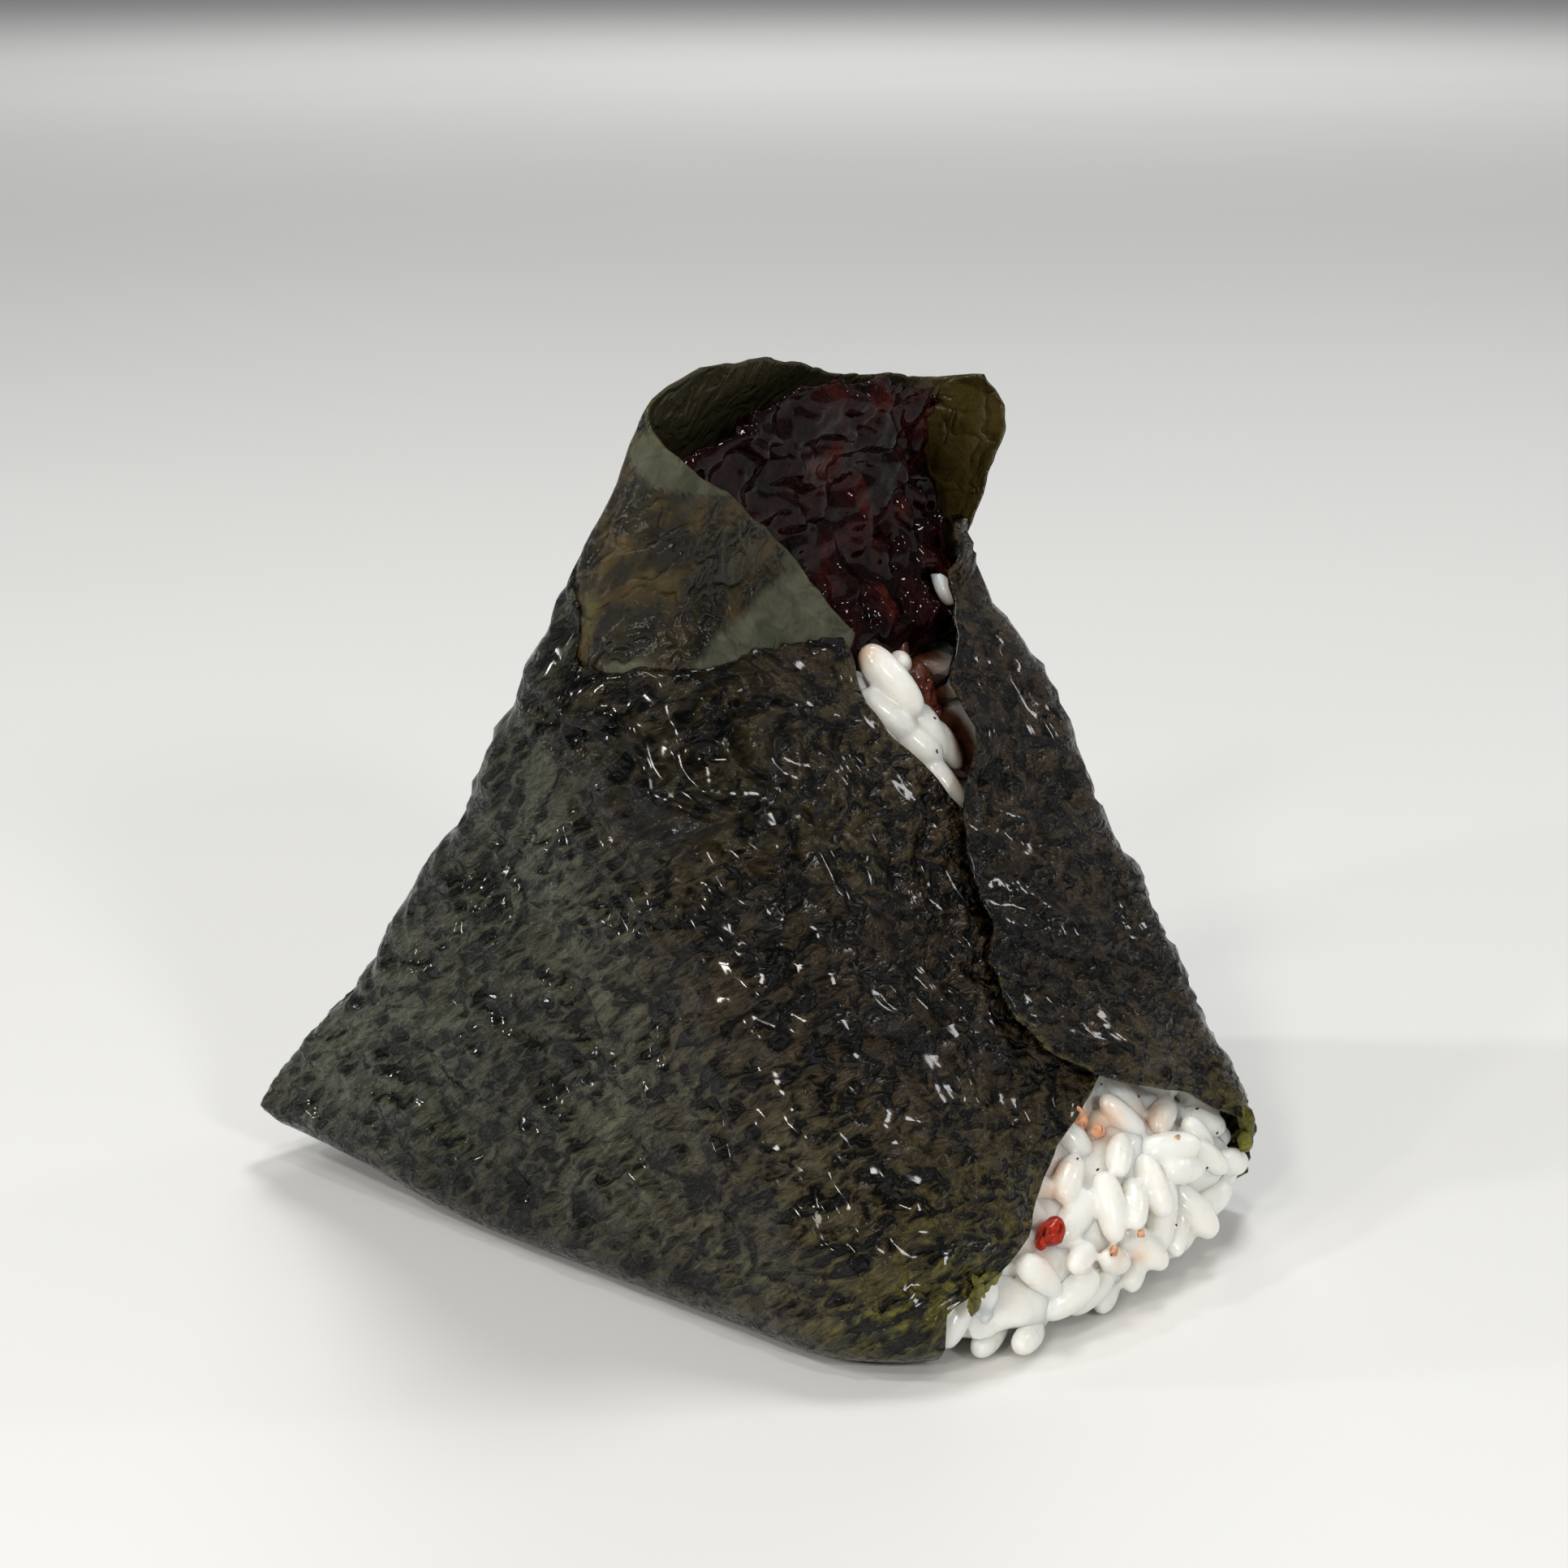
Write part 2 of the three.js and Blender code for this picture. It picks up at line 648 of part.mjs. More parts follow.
/** Every grain that is tried: first those in the gap, then a repeatable scatter over the slope. */
function grainCandidates() {
  const next = drawFrom(20);
  const candidates = GAP_GRAINS.map((grain) => ({ ...grain, sunk: 0.5 }));
  for (let i = 0; i < GRAIN_TRIES; i++) {
    const y = lerp(-24, 26, next());
    const z = lerp(2, RICE_TOP, next());
    const turn = 180 * next();
    const size = lerp(0.84, 1.06, next());
    candidates.push({ y, z, turn, size, sunk: lerp(-0.2, 0.9, next()) });
  }
  return candidates;
}

/** The grains that show, each a least distance from the ones before it and clear of the other pieces. */
function grains(neighbours) {
  const places = [];
  const made = [];
  for (const { y, z, turn, size, sunk } of grainCandidates()) {
    const place = onRice(y, z, -sunk);
    if (bareDepth(y, z) < 0 || places.some((other) => other.distanceTo(place) < GRAIN_SPACING)) continue;
    const facing = z < RIGHT_FOOT ? new THREE.Vector3(1, 0, 0) : SLOPE_OUT;
    const along = new THREE.Vector3(0, 1, 0).applyAxisAngle(facing, THREE.MathUtils.degToRad(turn));
    const roomy = solid(grainGeometry(place, along, facing, GRAIN_ROOM * size));
    const sinks = roomy.boundingBox().min[2] < 0;
    if (sinks || neighbours.some((neighbour) => roomy.intersect(neighbour).volume() > 0)) continue;
    places.push(place);
    made.push(solid(grainGeometry(place, along, facing, size)));
  }
  return made;
}

/** The one grain that stands by itself between the filling and the nori, size times as large. */
function strayGrain(size) {
  return solid(grainGeometry(onRice(17.3, 59.4, -0.3), SLOPE_UP, SLOPE_OUT, 0.88 * size));
}

const mainNori = mainSheet();
const collarNori = solid(collarSheet());
const filling = fillingSolid(0).subtract(strayGrain(1.25));
const pocket = fillingSolid(2 * GAP);
const crumbs = CRUMBS.map(({ y, z, size }) => crumb(onRice(y, z, 0.2), size));
const loose = [...grains([mainNori, collarNori, pocket]), ...crumbs, strayGrain(1)];
const rice = loose.reduce((whole, bit) => whole.add(bit), riceCore().subtract(pocket));

/** A named piece in its own colour. */
function piece(name, made, colour, roughness) {
  const geometry = geometryOf(made);
  const material = new THREE.MeshStandardMaterial({ color: colour, roughness, metalness: 0 });
  const mesh = new THREE.Mesh(geometry, material);
  mesh.name = name;
  return mesh;
}

const riceBall = new THREE.Group();
riceBall.add(piece("rice", rice, "#e6e2d6", 0.4));
riceBall.add(piece("filling", filling, "#2a0d16", 0.15));
riceBall.add(piece("nori_main", mainNori, "#1d2018", 0.35));
riceBall.add(piece("nori_collar", collarNori, "#2c2e1c", 0.6));

// The ball stands centred on the origin.
const { x: middleX, y: middleY } = new THREE.Box3().setFromObject(riceBall).getCenter(new THREE.Vector3());
riceBall.children.forEach((mesh) => mesh.geometry.translate(-middleX, -middleY, 0));

export default riceBall;
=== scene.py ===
"""Looks for a rice ball wrapped in nori: crinkled sheets, a glossy filling and real grains of rice.

The solids give the shapes. The sheets are laid out here on the same surface, in mm, and meshed finely.
"""

import math

import bpy
import numpy as np
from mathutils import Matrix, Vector


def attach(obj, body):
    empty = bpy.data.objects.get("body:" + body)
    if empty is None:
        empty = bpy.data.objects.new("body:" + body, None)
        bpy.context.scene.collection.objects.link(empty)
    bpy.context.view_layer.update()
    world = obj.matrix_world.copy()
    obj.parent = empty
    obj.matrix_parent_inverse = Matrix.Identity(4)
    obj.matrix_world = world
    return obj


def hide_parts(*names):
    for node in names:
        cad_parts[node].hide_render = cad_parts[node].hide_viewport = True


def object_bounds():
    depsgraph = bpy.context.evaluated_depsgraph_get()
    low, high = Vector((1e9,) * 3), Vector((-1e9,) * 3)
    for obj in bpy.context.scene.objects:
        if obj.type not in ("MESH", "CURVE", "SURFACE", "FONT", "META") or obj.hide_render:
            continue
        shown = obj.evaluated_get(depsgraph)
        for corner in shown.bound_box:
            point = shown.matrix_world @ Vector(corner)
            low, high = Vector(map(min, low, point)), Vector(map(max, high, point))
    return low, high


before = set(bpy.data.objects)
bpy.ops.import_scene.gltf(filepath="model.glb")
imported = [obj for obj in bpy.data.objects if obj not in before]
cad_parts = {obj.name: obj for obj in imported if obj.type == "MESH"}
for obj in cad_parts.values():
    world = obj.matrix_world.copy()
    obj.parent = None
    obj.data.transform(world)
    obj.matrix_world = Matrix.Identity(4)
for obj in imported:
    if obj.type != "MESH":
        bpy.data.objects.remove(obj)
cad_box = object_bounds()

MM = 0.001

# ---- The ball, as the solids have it: mm, before it is centred on the origin ----
SHIFT = np.array([-0.835, -0.035, 0.0])
BASE_LEFT, BASE_RIGHT, BASE_DEPTH = -39.5, 42.4, 57.0
LEFT_RUN, RIGHT_RUN, LEFT_FOOT, RIGHT_FOOT = 0.625, 0.655, 4.0, 9.0
FACE_LEAN, APEX_WIDTH, FRONT_LEAN, BACK_LEAN, PINCH, FOOT_SOFTNESS = 0.065, 9.0, 2.3, 5.0, 1.5, 3.0
THICKNESS, INNER_LAYER, LAP_STEP, FLAP_LIFT = 0.36, 0.55, 1.15, 1.7
HEM_RADIUS, HEM_REACH, HEM_RISE, PANEL_LAP = 4.0, 5.0, 0.15, 2.5
FRONT_RADIUS = 13.0  # of the wrap's front right edge
RIPPLE, EAR_REACH, EAR_HEIGHT, EAR_LIFT = 0.42, 5.0, 48.0, 3.2
RICE_INSET, RICE_TOP, RICE_BULGE, RICE_DENT = 0.9, 57.8, 2.6, 1.6

# Free edges of the two flaps on the right slope: height, y.
FRONT_FLAP_EDGE = [(0, -22), (6.5, -21.5), (8.5, -17), (10.5, -12.4), (14.5, -4.4), (16.2, -2.4),
                   (17.6, 2.5), (20, 7), (34, 7.5), (43, 4.5), (47, 2), (50.5, -1.4), (54, -2.7),
                   (57, -1.6), (60, -2.2)]
BACK_FLAP_EDGE = [(0, 32), (6.5, 31), (10.5, 26.5), (12.5, 22.8), (14.5, 19), (16.2, 17), (17.6, 12.8),
                  (20, 6.2), (23.5, 0.8), (27, -2.2), (31, -1.6), (35, 0.7), (43, 2.8), (47, 6.4),
                  (50.5, 9.7), (54, 9.4), (58, 14.6), (60, 18), (62, 19.8), (64, 20.2), (67, 21.2)]
# How far the back flap's upper part draws in: height, mm.
FLAP_TUCK = [(50, 0), (54, 1.2), (58, 2.1), (60, 2.8), (62, 3.6), (64, 2.6), (67, 2.2)]
# The main sheet's top edge: share of the way round, height.
MAIN_TOP = [(0, 59.6), (0.11, 59.9), (0.2, 58.9), (0.31, 59.6), (0.38, 65), (0.44, 70), (0.58, 71),
            (0.68, 66.5), (0.78, 65.5), (0.85, 66.5), (1, 67)]
# The collar's top edge: distance round from the ball's front left edge, height.
COLLAR_TOP = [(-36, 59.7), (-31, 62.4), (-26, 66.9), (-22, 69.3), (-12, 75.1), (-8, 77), (-2, 81),
              (2, 84.6), (5, 86), (14, 85.8), (28, 82.8), (44, 80.6), (48.5, 81.2), (50.5, 80.7),
              (52.3, 79.4), (53.6, 77.4), (57, 73)]
# The end of the collar's tongue: height, distance round.
COLLAR_BACK_EDGE = [(53, 54), (66, 54.3), (70, 54.6), (74.5, 54.3), (76.5, 53.8), (78.3, 52.7),
                    (79.8, 51), (81, 48.8)]
COLLAR_FOOT, COLLAR_FRONT, COLLAR_BACK = 53.0, -36.0, 57.0


# ---- Small tools on arrays ----
def curve(points, value):
    """Piecewise-linear curve through (input, output) points."""
    known = np.array(points, float)
    return np.interp(value, known[:, 0], known[:, 1])


def smooth(value, low, high):
    """0 below low, 1 above high, smooth between."""
    t = np.clip((value - low) / (high - low), 0, 1)
    return t * t * (3 - 2 * t)


def soft_max(a, b, softness):
    return (a + b + np.hypot(a - b, softness)) / 2


def unit(v):
    return v / np.maximum(np.linalg.norm(v, axis=-1, keepdims=True), 1e-9)


def hashed(cells, seed):
    """A repeatable number from 0 to 1 for each cell of an integer grid."""
    x, y, z = (cells[..., k].astype(np.uint64) for k in range(3))
    h = (x * np.uint64(73856093)) ^ (y * np.uint64(19349663)) ^ (z * np.uint64(83492791))
    h = (h ^ np.uint64(seed * 2654435761 % 2**32)) & np.uint64(0xFFFFFFFF)
    h = ((h ^ (h >> np.uint64(15))) * np.uint64(2246822519)) & np.uint64(0xFFFFFFFF)
    h = ((h ^ (h >> np.uint64(13))) * np.uint64(3266489917)) & np.uint64(0xFFFFFFFF)
    return (h ^ (h >> np.uint64(16))).astype(float) / 2**32


def value_noise(points, seed):
    """Smooth noise from -1 to 1, one bump a unit."""
    whole = np.floor(points)
    part = points - whole
    part = part * part * part * (part * (part * 6 - 15) + 10)
    base = whole.astype(np.int64) + 100000
    total = np.zeros(points.shape[:-1])
    for corner in range(8):
        step = np.array([corner & 1, corner >> 1 & 1, corner >> 2 & 1])
        weight = np.prod(np.where(step == 1, part, 1 - part), axis=-1)
        total += weight * hashed(base + step, seed)
    return 2 * total - 1


def fractal(points, seed, octaves):
    """Noise from -1 to 1 with ever finer and weaker octaves."""
    total, size, reach = 0.0, 1.0, 0.0
    for k in range(octaves):
        total = total + size * value_noise(points * 2.03**k + 17.3 * k, seed + k)
        reach += size
        size /= 2
    return total / reach


def creases(points, seed):
    """Narrow ridges, up to 1, between rounded hollows."""
    return 1.15 - 1.6 * np.sqrt(value_noise(points, seed) ** 2 + 0.009)


# ---- The wrap's surface ----
def ripple(x, y, z):
    """Slow waves of the whole wrap, mm outwards."""
    slow = np.sin(0.21 * x + 0.33 * z + 0.6) * np.cos(0.27 * y - 0.14 * z)
    quick = 0.6 * np.sin(0.47 * z - 0.36 * x + 0.24 * y + 1.7)
    return RIPPLE * (slow + quick) * smooth(z, 2, 12)


def lift(x, z):
    """How far the left part of the foot rises off the table."""
    return EAR_LIFT * smooth(-x, 10, 42) * np.clip(1 - z / 16, 0, 1)


def extent(z, inset=0.0):
    """left x, right x and half the depth of the ball at a height."""
    left = BASE_LEFT + LEFT_RUN * (soft_max(z - LEFT_FOOT, 0, FOOT_SOFTNESS) - FOOT_SOFTNESS / 2)
    planar = BASE_RIGHT - RIGHT_RUN * (soft_max(z - RIGHT_FOOT, 0, FOOT_SOFTNESS) - FOOT_SOFTNESS / 2)
    width = soft_max(planar - left, APEX_WIDTH, 5)
    half = BASE_DEPTH / 2 - FACE_LEAN * z
    return left + inset, left + width - inset, half - inset


def edges(z, inset=0.0):
    """The four upright edges at a height: front left, back left, back right, front right."""
    left, right, half = extent(z, inset)
    ear = EAR_REACH * np.clip(1 - z / EAR_HEIGHT, 0, 1)
    high = smooth(z, 58, 82)
    front_left = np.stack([left - ear - FRONT_LEAN * high, -half + PINCH * high], -1)
    back_left = np.stack([left - 0.6 * ear - BACK_LEAN * high, half], -1)
    back_right = np.stack([right - BACK_LEAN * high, half], -1)
    front_right = np.stack([right - BACK_LEAN * high, -half], -1)
    return front_left, back_left, back_right, front_right


def edge_radii(z, corners):
    """Radii of the bends that main_path takes, in their order."""
    front_left, back_left, back_right, front_right = corners
    opened = smooth(z, 4, 30)
    front = front_right[..., 0] - front_left[..., 0]
    back = back_right[..., 0] - back_left[..., 0]
    return [
        np.minimum(FRONT_RADIUS, 0.6 * front),
        np.minimum(1.2 + 3.8 * opened, 0.35 * front),
        np.minimum(2 + 3 * opened, 0.35 * back),
        np.minimum(4.5, 0.4 * back),
    ]


class Path:
    """Many paths at once, one for each height: lines with rounded corners, all turning right."""

    def __init__(self, points, radii):
        self.pieces = []
        self.marks = []  # distances along the paths where lines and bends meet
        start = np.zeros(len(points[0]))
        origin = points[0]
        for i in range(1, len(points) - 1):
            into = unit(points[i] - points[i - 1])
            onward = unit(points[i + 1] - points[i])
            turn = np.arccos(np.clip((into * onward).sum(-1), -1, 1))
            radius = radii[i - 1]
            cut = (radius * np.tan(turn / 2))[:, None]
            start = self.add_line(start, origin, points[i] - cut * into)
            out = np.stack([-into[:, 1], into[:, 0]], -1)
            centre = points[i] - cut * into - radius[:, None] * out
            self.pieces.append((start, centre, out, radius))
            start = start + radius * turn
            self.marks.append(start)
            origin = points[i] + cut * onward
        self.add_line(start, origin, points[-1])
        self.marks.pop()

    def add_line(self, start, origin, end):
        along = unit(end - origin)
        self.pieces.append((start, origin, along, None))
        start = start + np.linalg.norm(end - origin, axis=-1)
        self.marks.append(start)
        return start

    def at(self, s):
        """Place and outward direction at distance s along each path."""
        place = np.zeros((len(s), 2))
        out = np.zeros((len(s), 2))
        for i, (start, origin, way, radius) in enumerate(self.pieces):
            here = s >= start if i else np.ones(len(s), bool)
            along = (s - start)[:, None]
            if radius is None:
                spot = origin + along * way
                side = np.stack([-way[:, 1], way[:, 0]], -1)
            else:
                angle = -along[:, 0] / radius
                c, n = np.cos(angle), np.sin(angle)
                side = np.stack([c * way[:, 0] - n * way[:, 1], n * way[:, 0] + c * way[:, 1]], -1)
                spot = origin + radius[:, None] * side
            place[here] = spot[here]
            out[here] = side[here]
        return place, out


def main_path(z, inset):
    corners = edges(z, inset)
    front_left, back_left, back_right, front_right = corners
    points = [back_right, front_right, front_left, back_left, back_right, front_right]
    return Path(points, edge_radii(z, corners))


def collar_path(z):
    corners = edges(z)
    front_left, back_left, back_right, front_right = corners
    beyond = back_left + np.array([40.0, 0.0])
    return Path([back_right, front_right, front_left, back_left, beyond], edge_radii(z, corners)[:3])


def skin(path, s, z, distance, turn=0.0):
    """Places on a skin and their outward directions: pushed out by distance, turned down by turn."""
    place, out = path.at(s)
    push = distance + ripple(place[:, 0], place[:, 1], z)
    flat = np.cos(turn)
    down = np.sin(turn)
    spot = np.stack([place[:, 0] + out[:, 0] * push * flat, place[:, 1] + out[:, 1] * push * flat,
                     z + lift(place[:, 0], z) - push * down], -1)
    way = np.stack([out[:, 0] * flat, out[:, 1] * flat, -down * np.ones(len(z))], -1)
    return spot, way


# ---- Meshes ----
def steps(stations, counts):
    """Positions along stations, counts[i] equal steps in stretch i."""
    made = [stations[0]]
    for low, high, count in zip(stations, stations[1:], counts):
        made.extend(np.linspace(low, high, count + 1)[1:])
    return np.array(made)


def in_box(points):
    """Points in metres, kept a hair inside the box of the solids."""
    return np.clip(points, np.array(cad_box[0]) + 0.03 * MM, np.array(cad_box[1]) - 0.03 * MM)


def new_mesh(name, points, faces):
    """An object from points in mm in the ball's own coordinates."""
    mesh = bpy.data.meshes.new(name)
    mesh.from_pydata(in_box((points + SHIFT) * MM).tolist(), [], faces)
    mesh.validate()
    mesh.update()
    piece = bpy.data.objects.new(name, mesh)
    bpy.context.scene.collection.objects.link(piece)
    mesh.polygons.foreach_set("use_smooth", np.ones(len(mesh.polygons), bool))
    return piece


def put_attribute(piece, name, values):
    attribute = piece.data.attributes.new(name, "FLOAT", "POINT")
    attribute.data.foreach_set("value", np.asarray(values, np.float32))


def sheet_faces(rows, columns):
    """Faces of a closed thin sheet whose outer points come first, then its inner points, row by row."""
    index = np.arange(rows * columns).reshape(rows, columns)
    inner = index + rows * columns
    a, b, c, d = index[:-1, :-1], index[1:, :-1], index[1:, 1:], index[:-1, 1:]
    outside = np.stack([a, b, c, d], -1).reshape(-1, 4)
    inside = outside[:, ::-1] + rows * columns
    rims = []
    for line, under, flip in ((index[:, 0], inner[:, 0], True), (index[:, -1], inner[:, -1], False),
                              (index[0], inner[0], False), (index[-1], inner[-1], True)):
        rim = np.stack([line[:-1], line[1:], under[1:], under[:-1]], -1)
        rims.append(rim[:, ::-1] if flip else rim)
    return np.concatenate([outside, inside, *rims]).tolist()


# ---- Nori: relief ----
CREASE_WAYS = ((0.0, 1), (1.05, 2), (2.1, 3))  # directions of the creases, each with its seed


def crinkle(across, z, spots, coarse, fine):
    """Relief of damp nori in mm outwards, from distance along the wrap and height."""
    relief = np.zeros(len(z))
    total = np.zeros(len(z))
    for angle, seed in CREASE_WAYS:
        weight = smooth(value_noise(spots / 11.0, 40 + seed), -0.35, 0.45) + 0.05
        c, n = math.cos(angle), math.sin(angle)
        along, over = c * across + n * z, -n * across + c * z
        warp = 0.9 * value_noise(np.stack([along / 5, over / 3.5, 0 * z], -1), 50 + seed)
        wide = creases(np.stack([along / 6.5 + warp, over / 2.4 + warp, 0 * z], -1), 10 + seed)
        narrow = creases(np.stack([along / 3.2 - warp, over / 1.35 + warp, 0 * z + 9], -1), 20 + seed)
        relief += weight * (coarse * (wide - 0.45) + fine * (narrow - 0.45))
        total += weight
    return relief / total


def ragged(distance, size, seed):
    """Uneven run of a torn edge, in mm."""
    line = np.stack([distance / 3.4, 0 * distance, 0 * distance], -1)
    return size * (value_noise(line, seed) + 0.45 * value_noise(line * 3.1, seed + 1))


# ---- The main sheet ----
MAIN_COLUMNS = [5, 4, 8, 3, 7, 3, 8, 2, 5]  # the solid's columns between its upright edges
FINE_COLUMNS = [46, 30, 104, 12, 62, 10, 92, 10, 42]  # the columns of this finer mesh there
LEAST_COLUMN = 0.8
BAND_LOW, BAND_HIGH = 43.0, 57.0  # heights from here to there stretch up to the sheet's top edge
HEM_MIDDLE = HEM_RISE + INNER_LAYER + 0.225  # height of the sheet's middle under the base
FINE_HEIGHTS = steps([HEM_MIDDLE + HEM_RADIUS, 12, 24, BAND_LOW, BAND_HIGH], [11, 18, 27, 20])


def main_stations(path, z, half):
    """Distances along the path of the sheet's stations, one array for each."""
    _, _, full_half = extent(z)
    to_front = half * (1 - curve(FRONT_FLAP_EDGE, z) / full_half) + ragged(z, 0.45, 61)
    corner = (path.marks[6] + path.marks[7]) / 2
    to_back = corner + half - curve(BACK_FLAP_EDGE, z) + ragged(z * 1.6, 0.55, 63)
    before = np.cumsum([0, *MAIN_COLUMNS])
    stations = []
    for i, mark in enumerate([to_front, *path.marks, to_back]):
        least = to_front + LEAST_COLUMN * before[i]
        most = to_back - LEAST_COLUMN * (before[-1] - before[i])
        stations.append(np.clip(mark, least, most))
    return np.stack(stations, -1), before


def main_points(height, column, inset, turn):
    """Middle of the main sheet: place, outward direction, distance along the path, height,
    distance from the free edges and share of the way round."""
    share = column / sum(MAIN_COLUMNS)
    top = curve(MAIN_TOP, share) + ragged(column * 5, 0.3, 65)
    stretched = BAND_LOW + (top - BAND_LOW) * (height - BAND_LOW) / (BAND_HIGH - BAND_LOW)
    z = np.where(height <= BAND_LOW, height, stretched)
    path = main_path(z, inset)
    _, _, half = extent(z, inset)
    stations, before = main_stations(path, z, half)
    which = np.clip(np.searchsorted(before, column, side="right") - 1, 0, len(MAIN_COLUMNS) - 1)
    low = stations[np.arange(len(z)), which]
    high = stations[np.arange(len(z)), which + 1]
    s = low + (high - low) * (column - before[which]) / np.array(MAIN_COLUMNS)[which]
    flap = smooth(s, path.marks[7] - 4, path.marks[7] + 12)
    middle = INNER_LAYER + LAP_STEP * smooth(z, 42, 51) + FLAP_LIFT * flap
    spot, way = skin(path, s, z, middle, turn)
    spot[:, 0] -= curve(FLAP_TUCK, z) * smooth(share, 0.7, 0.86)
    edge = np.minimum(s - stations[:, 0], stations[:, -1] - s)
    edge = np.minimum(edge, np.where(height > BAND_LOW, top - z, 99))
    return spot, way, s, z, edge, share


def main_nori():
    columns = steps(list(np.cumsum([0, *MAIN_COLUMNS])), FINE_COLUMNS)
    rows = []
    for inset in (HEM_RADIUS + HEM_REACH, HEM_RADIUS + HEM_REACH / 2):
        rows.append((HEM_MIDDLE, inset, math.pi / 2))
    for turn in np.linspace(math.pi / 2, 0, 8)[:-1]:
        rise = HEM_RADIUS * (1 - math.sin(turn))
        rows.append((HEM_MIDDLE + rise, HEM_RADIUS * (1 - math.cos(turn)), turn))
    rows.extend((height, 0.0, 0.0) for height in FINE_HEIGHTS)
    height, inset, turn = np.repeat(np.array(rows, float), len(columns), axis=0).T
    column = np.tile(columns, len(rows))
    spot, way, s, z, edge, share = main_points(height, column, inset, turn)
    ridge = smooth(share, 0.05, 0.16) * smooth(-share, -0.3, -0.2) * smooth(z, 30, 50)
    relief = crinkle(s, z, spot, 0.85 + 0.35 * ridge, 0.3)
    keep = smooth(z, 0.3, 5) * (0.35 + 0.65 * smooth(edge, 0, 2.5))
    lip = 0.3 * smooth(z, 50, 56) * np.exp(-((edge - 1.2) / 0.9) ** 2)
    hug = 0.85 * smooth(z, 50, 56) * smooth(-edge, -5, -0.4)
    back_flap = smooth(share, 0.88, 0.92)
    relief = (relief - 0.12) * keep + (lip - hug) * (1 - back_flap)
    relief = np.minimum(relief, 0.55)
    outer = spot + way * (relief + THICKNESS / 2)[:, None]
    inner = spot + way * (relief - THICKNESS / 2)[:, None]
    points = np.concatenate([outer, inner])
    piece = new_mesh("nori_main_skin", points, sheet_faces(len(rows), len(columns)))
    around = np.minimum(share, 1 - share)
    put_attribute(piece, "brown", np.tile(smooth(-around, -0.33, -0.12), 2))
    put_attribute(piece, "slack", np.tile(0.85 * ridge + 0.25 * smooth(-around, -0.25, -0.1), 2))
    torn = smooth(-edge, -1.0, 0) * smooth(-z, -34, -22)
    low_front = 0.8 * smooth(-z, -22, -5) * smooth(-around, -0.22, -0.1)
    put_attribute(piece, "olive", np.tile(np.maximum(torn, low_front), 2))
    return piece


PANEL_ROWS, PANEL_COLUMNS = 36, 60


def base_panel():
    """The panel that closes the wrap underneath."""
    inset = HEM_RADIUS + HEM_REACH - PANEL_LAP
    left, _, half = extent(np.zeros(1), inset)
    end = BASE_RIGHT - HEM_RADIUS
    across = np.linspace(left[0], end, PANEL_COLUMNS)
    narrowing = np.interp(across, [end - 14, end - 5, end], [1, 0.8, 0.55])
    y = np.linspace(-half[0], half[0], PANEL_ROWS)
    grid_x, grid_y = np.meshgrid(across, y)
    grid_y = grid_y * narrowing[None, :]
    x, y = grid_x.ravel(), grid_y.ravel()
    hollow = 0.12 * smooth(fractal(np.stack([x / 5, y / 5, 0 * x], -1), 70, 3), 0, 0.5)
    low = np.stack([x, y, lift(x, np.zeros(len(x))) + hollow], -1)
    high = low + np.array([0, 0, THICKNESS])
    faces = sheet_faces(PANEL_ROWS, PANEL_COLUMNS)
    piece = new_mesh("nori_base_panel", np.concatenate([low, high]), faces)
    for name in ("brown", "slack", "olive"):
        put_attribute(piece, name, np.zeros(len(x) * 2))
    return piece


# ---- The collar ----
COLLAR_FINE, COLLAR_ROWS = [62, 12, 70, 10, 34], 64
# The pale dry band along the collar's top edge: height, width.
DRY_WIDTH = [(59.5, 15), (61.5, 10.5), (63.5, 6.5), (66, 2.5), (68, 0.3), (74, 0.3), (76, 3),
             (79, 3.6), (81, 0)]


def collar_nori():
    flat = collar_path(np.array([COLLAR_FOOT]))
    zero = (flat.marks[2][0] + flat.marks[3][0]) / 2
    stations = [COLLAR_FRONT, *(mark[0] - zero for mark in flat.marks[2:]), COLLAR_BACK]
    distances = steps(stations, COLLAR_FINE)
    distance = np.tile(distances, COLLAR_ROWS)
    rise = np.repeat(np.linspace(0, 1, COLLAR_ROWS), len(distances))
    top = curve(COLLAR_TOP, distance) + ragged(distance, 0.22, 81)
    z = COLLAR_FOOT + (top - COLLAR_FOOT) * rise
    path = collar_path(z)
    corner = (path.marks[2] + path.marks[3]) / 2
    back = curve(COLLAR_BACK_EDGE, z) + ragged(z, 0.25, 83)
    s = corner + np.minimum(distance, back)
    spot, way = skin(path, s, z, INNER_LAYER)
    edge = np.minimum(top - z, np.abs(back - distance))
    soft = fractal(spot / 5.5, 90, 2)
    worms = creases(np.stack([distance / 2.6 + soft, z / 1.3, 0 * z], -1), 92)
    relief = (0.2 * soft + 0.05 * (worms - 0.5)) * (0.3 + 0.7 * smooth(edge, 0, 2))
    points = np.concatenate([spot + way * (relief + THICKNESS / 2)[:, None],
                             spot + way * (relief - THICKNESS / 2)[:, None]])
    piece = new_mesh("nori_collar_skin", points, sheet_faces(COLLAR_ROWS, len(distances)))
    put_attribute(piece, "edge", np.tile(edge, 2))
    width = curve(DRY_WIDTH, z) * (1 + 0.35 * soft)
    put_attribute(piece, "dry", np.tile(smooth(width - edge, -0.4, 0.8) * (distance < 3), 2))
    put_attribute(piece, "inside", np.concatenate([np.zeros(len(z)), np.ones(len(z))]))
    put_attribute(piece, "along", np.tile(distance, 2))
    return piece


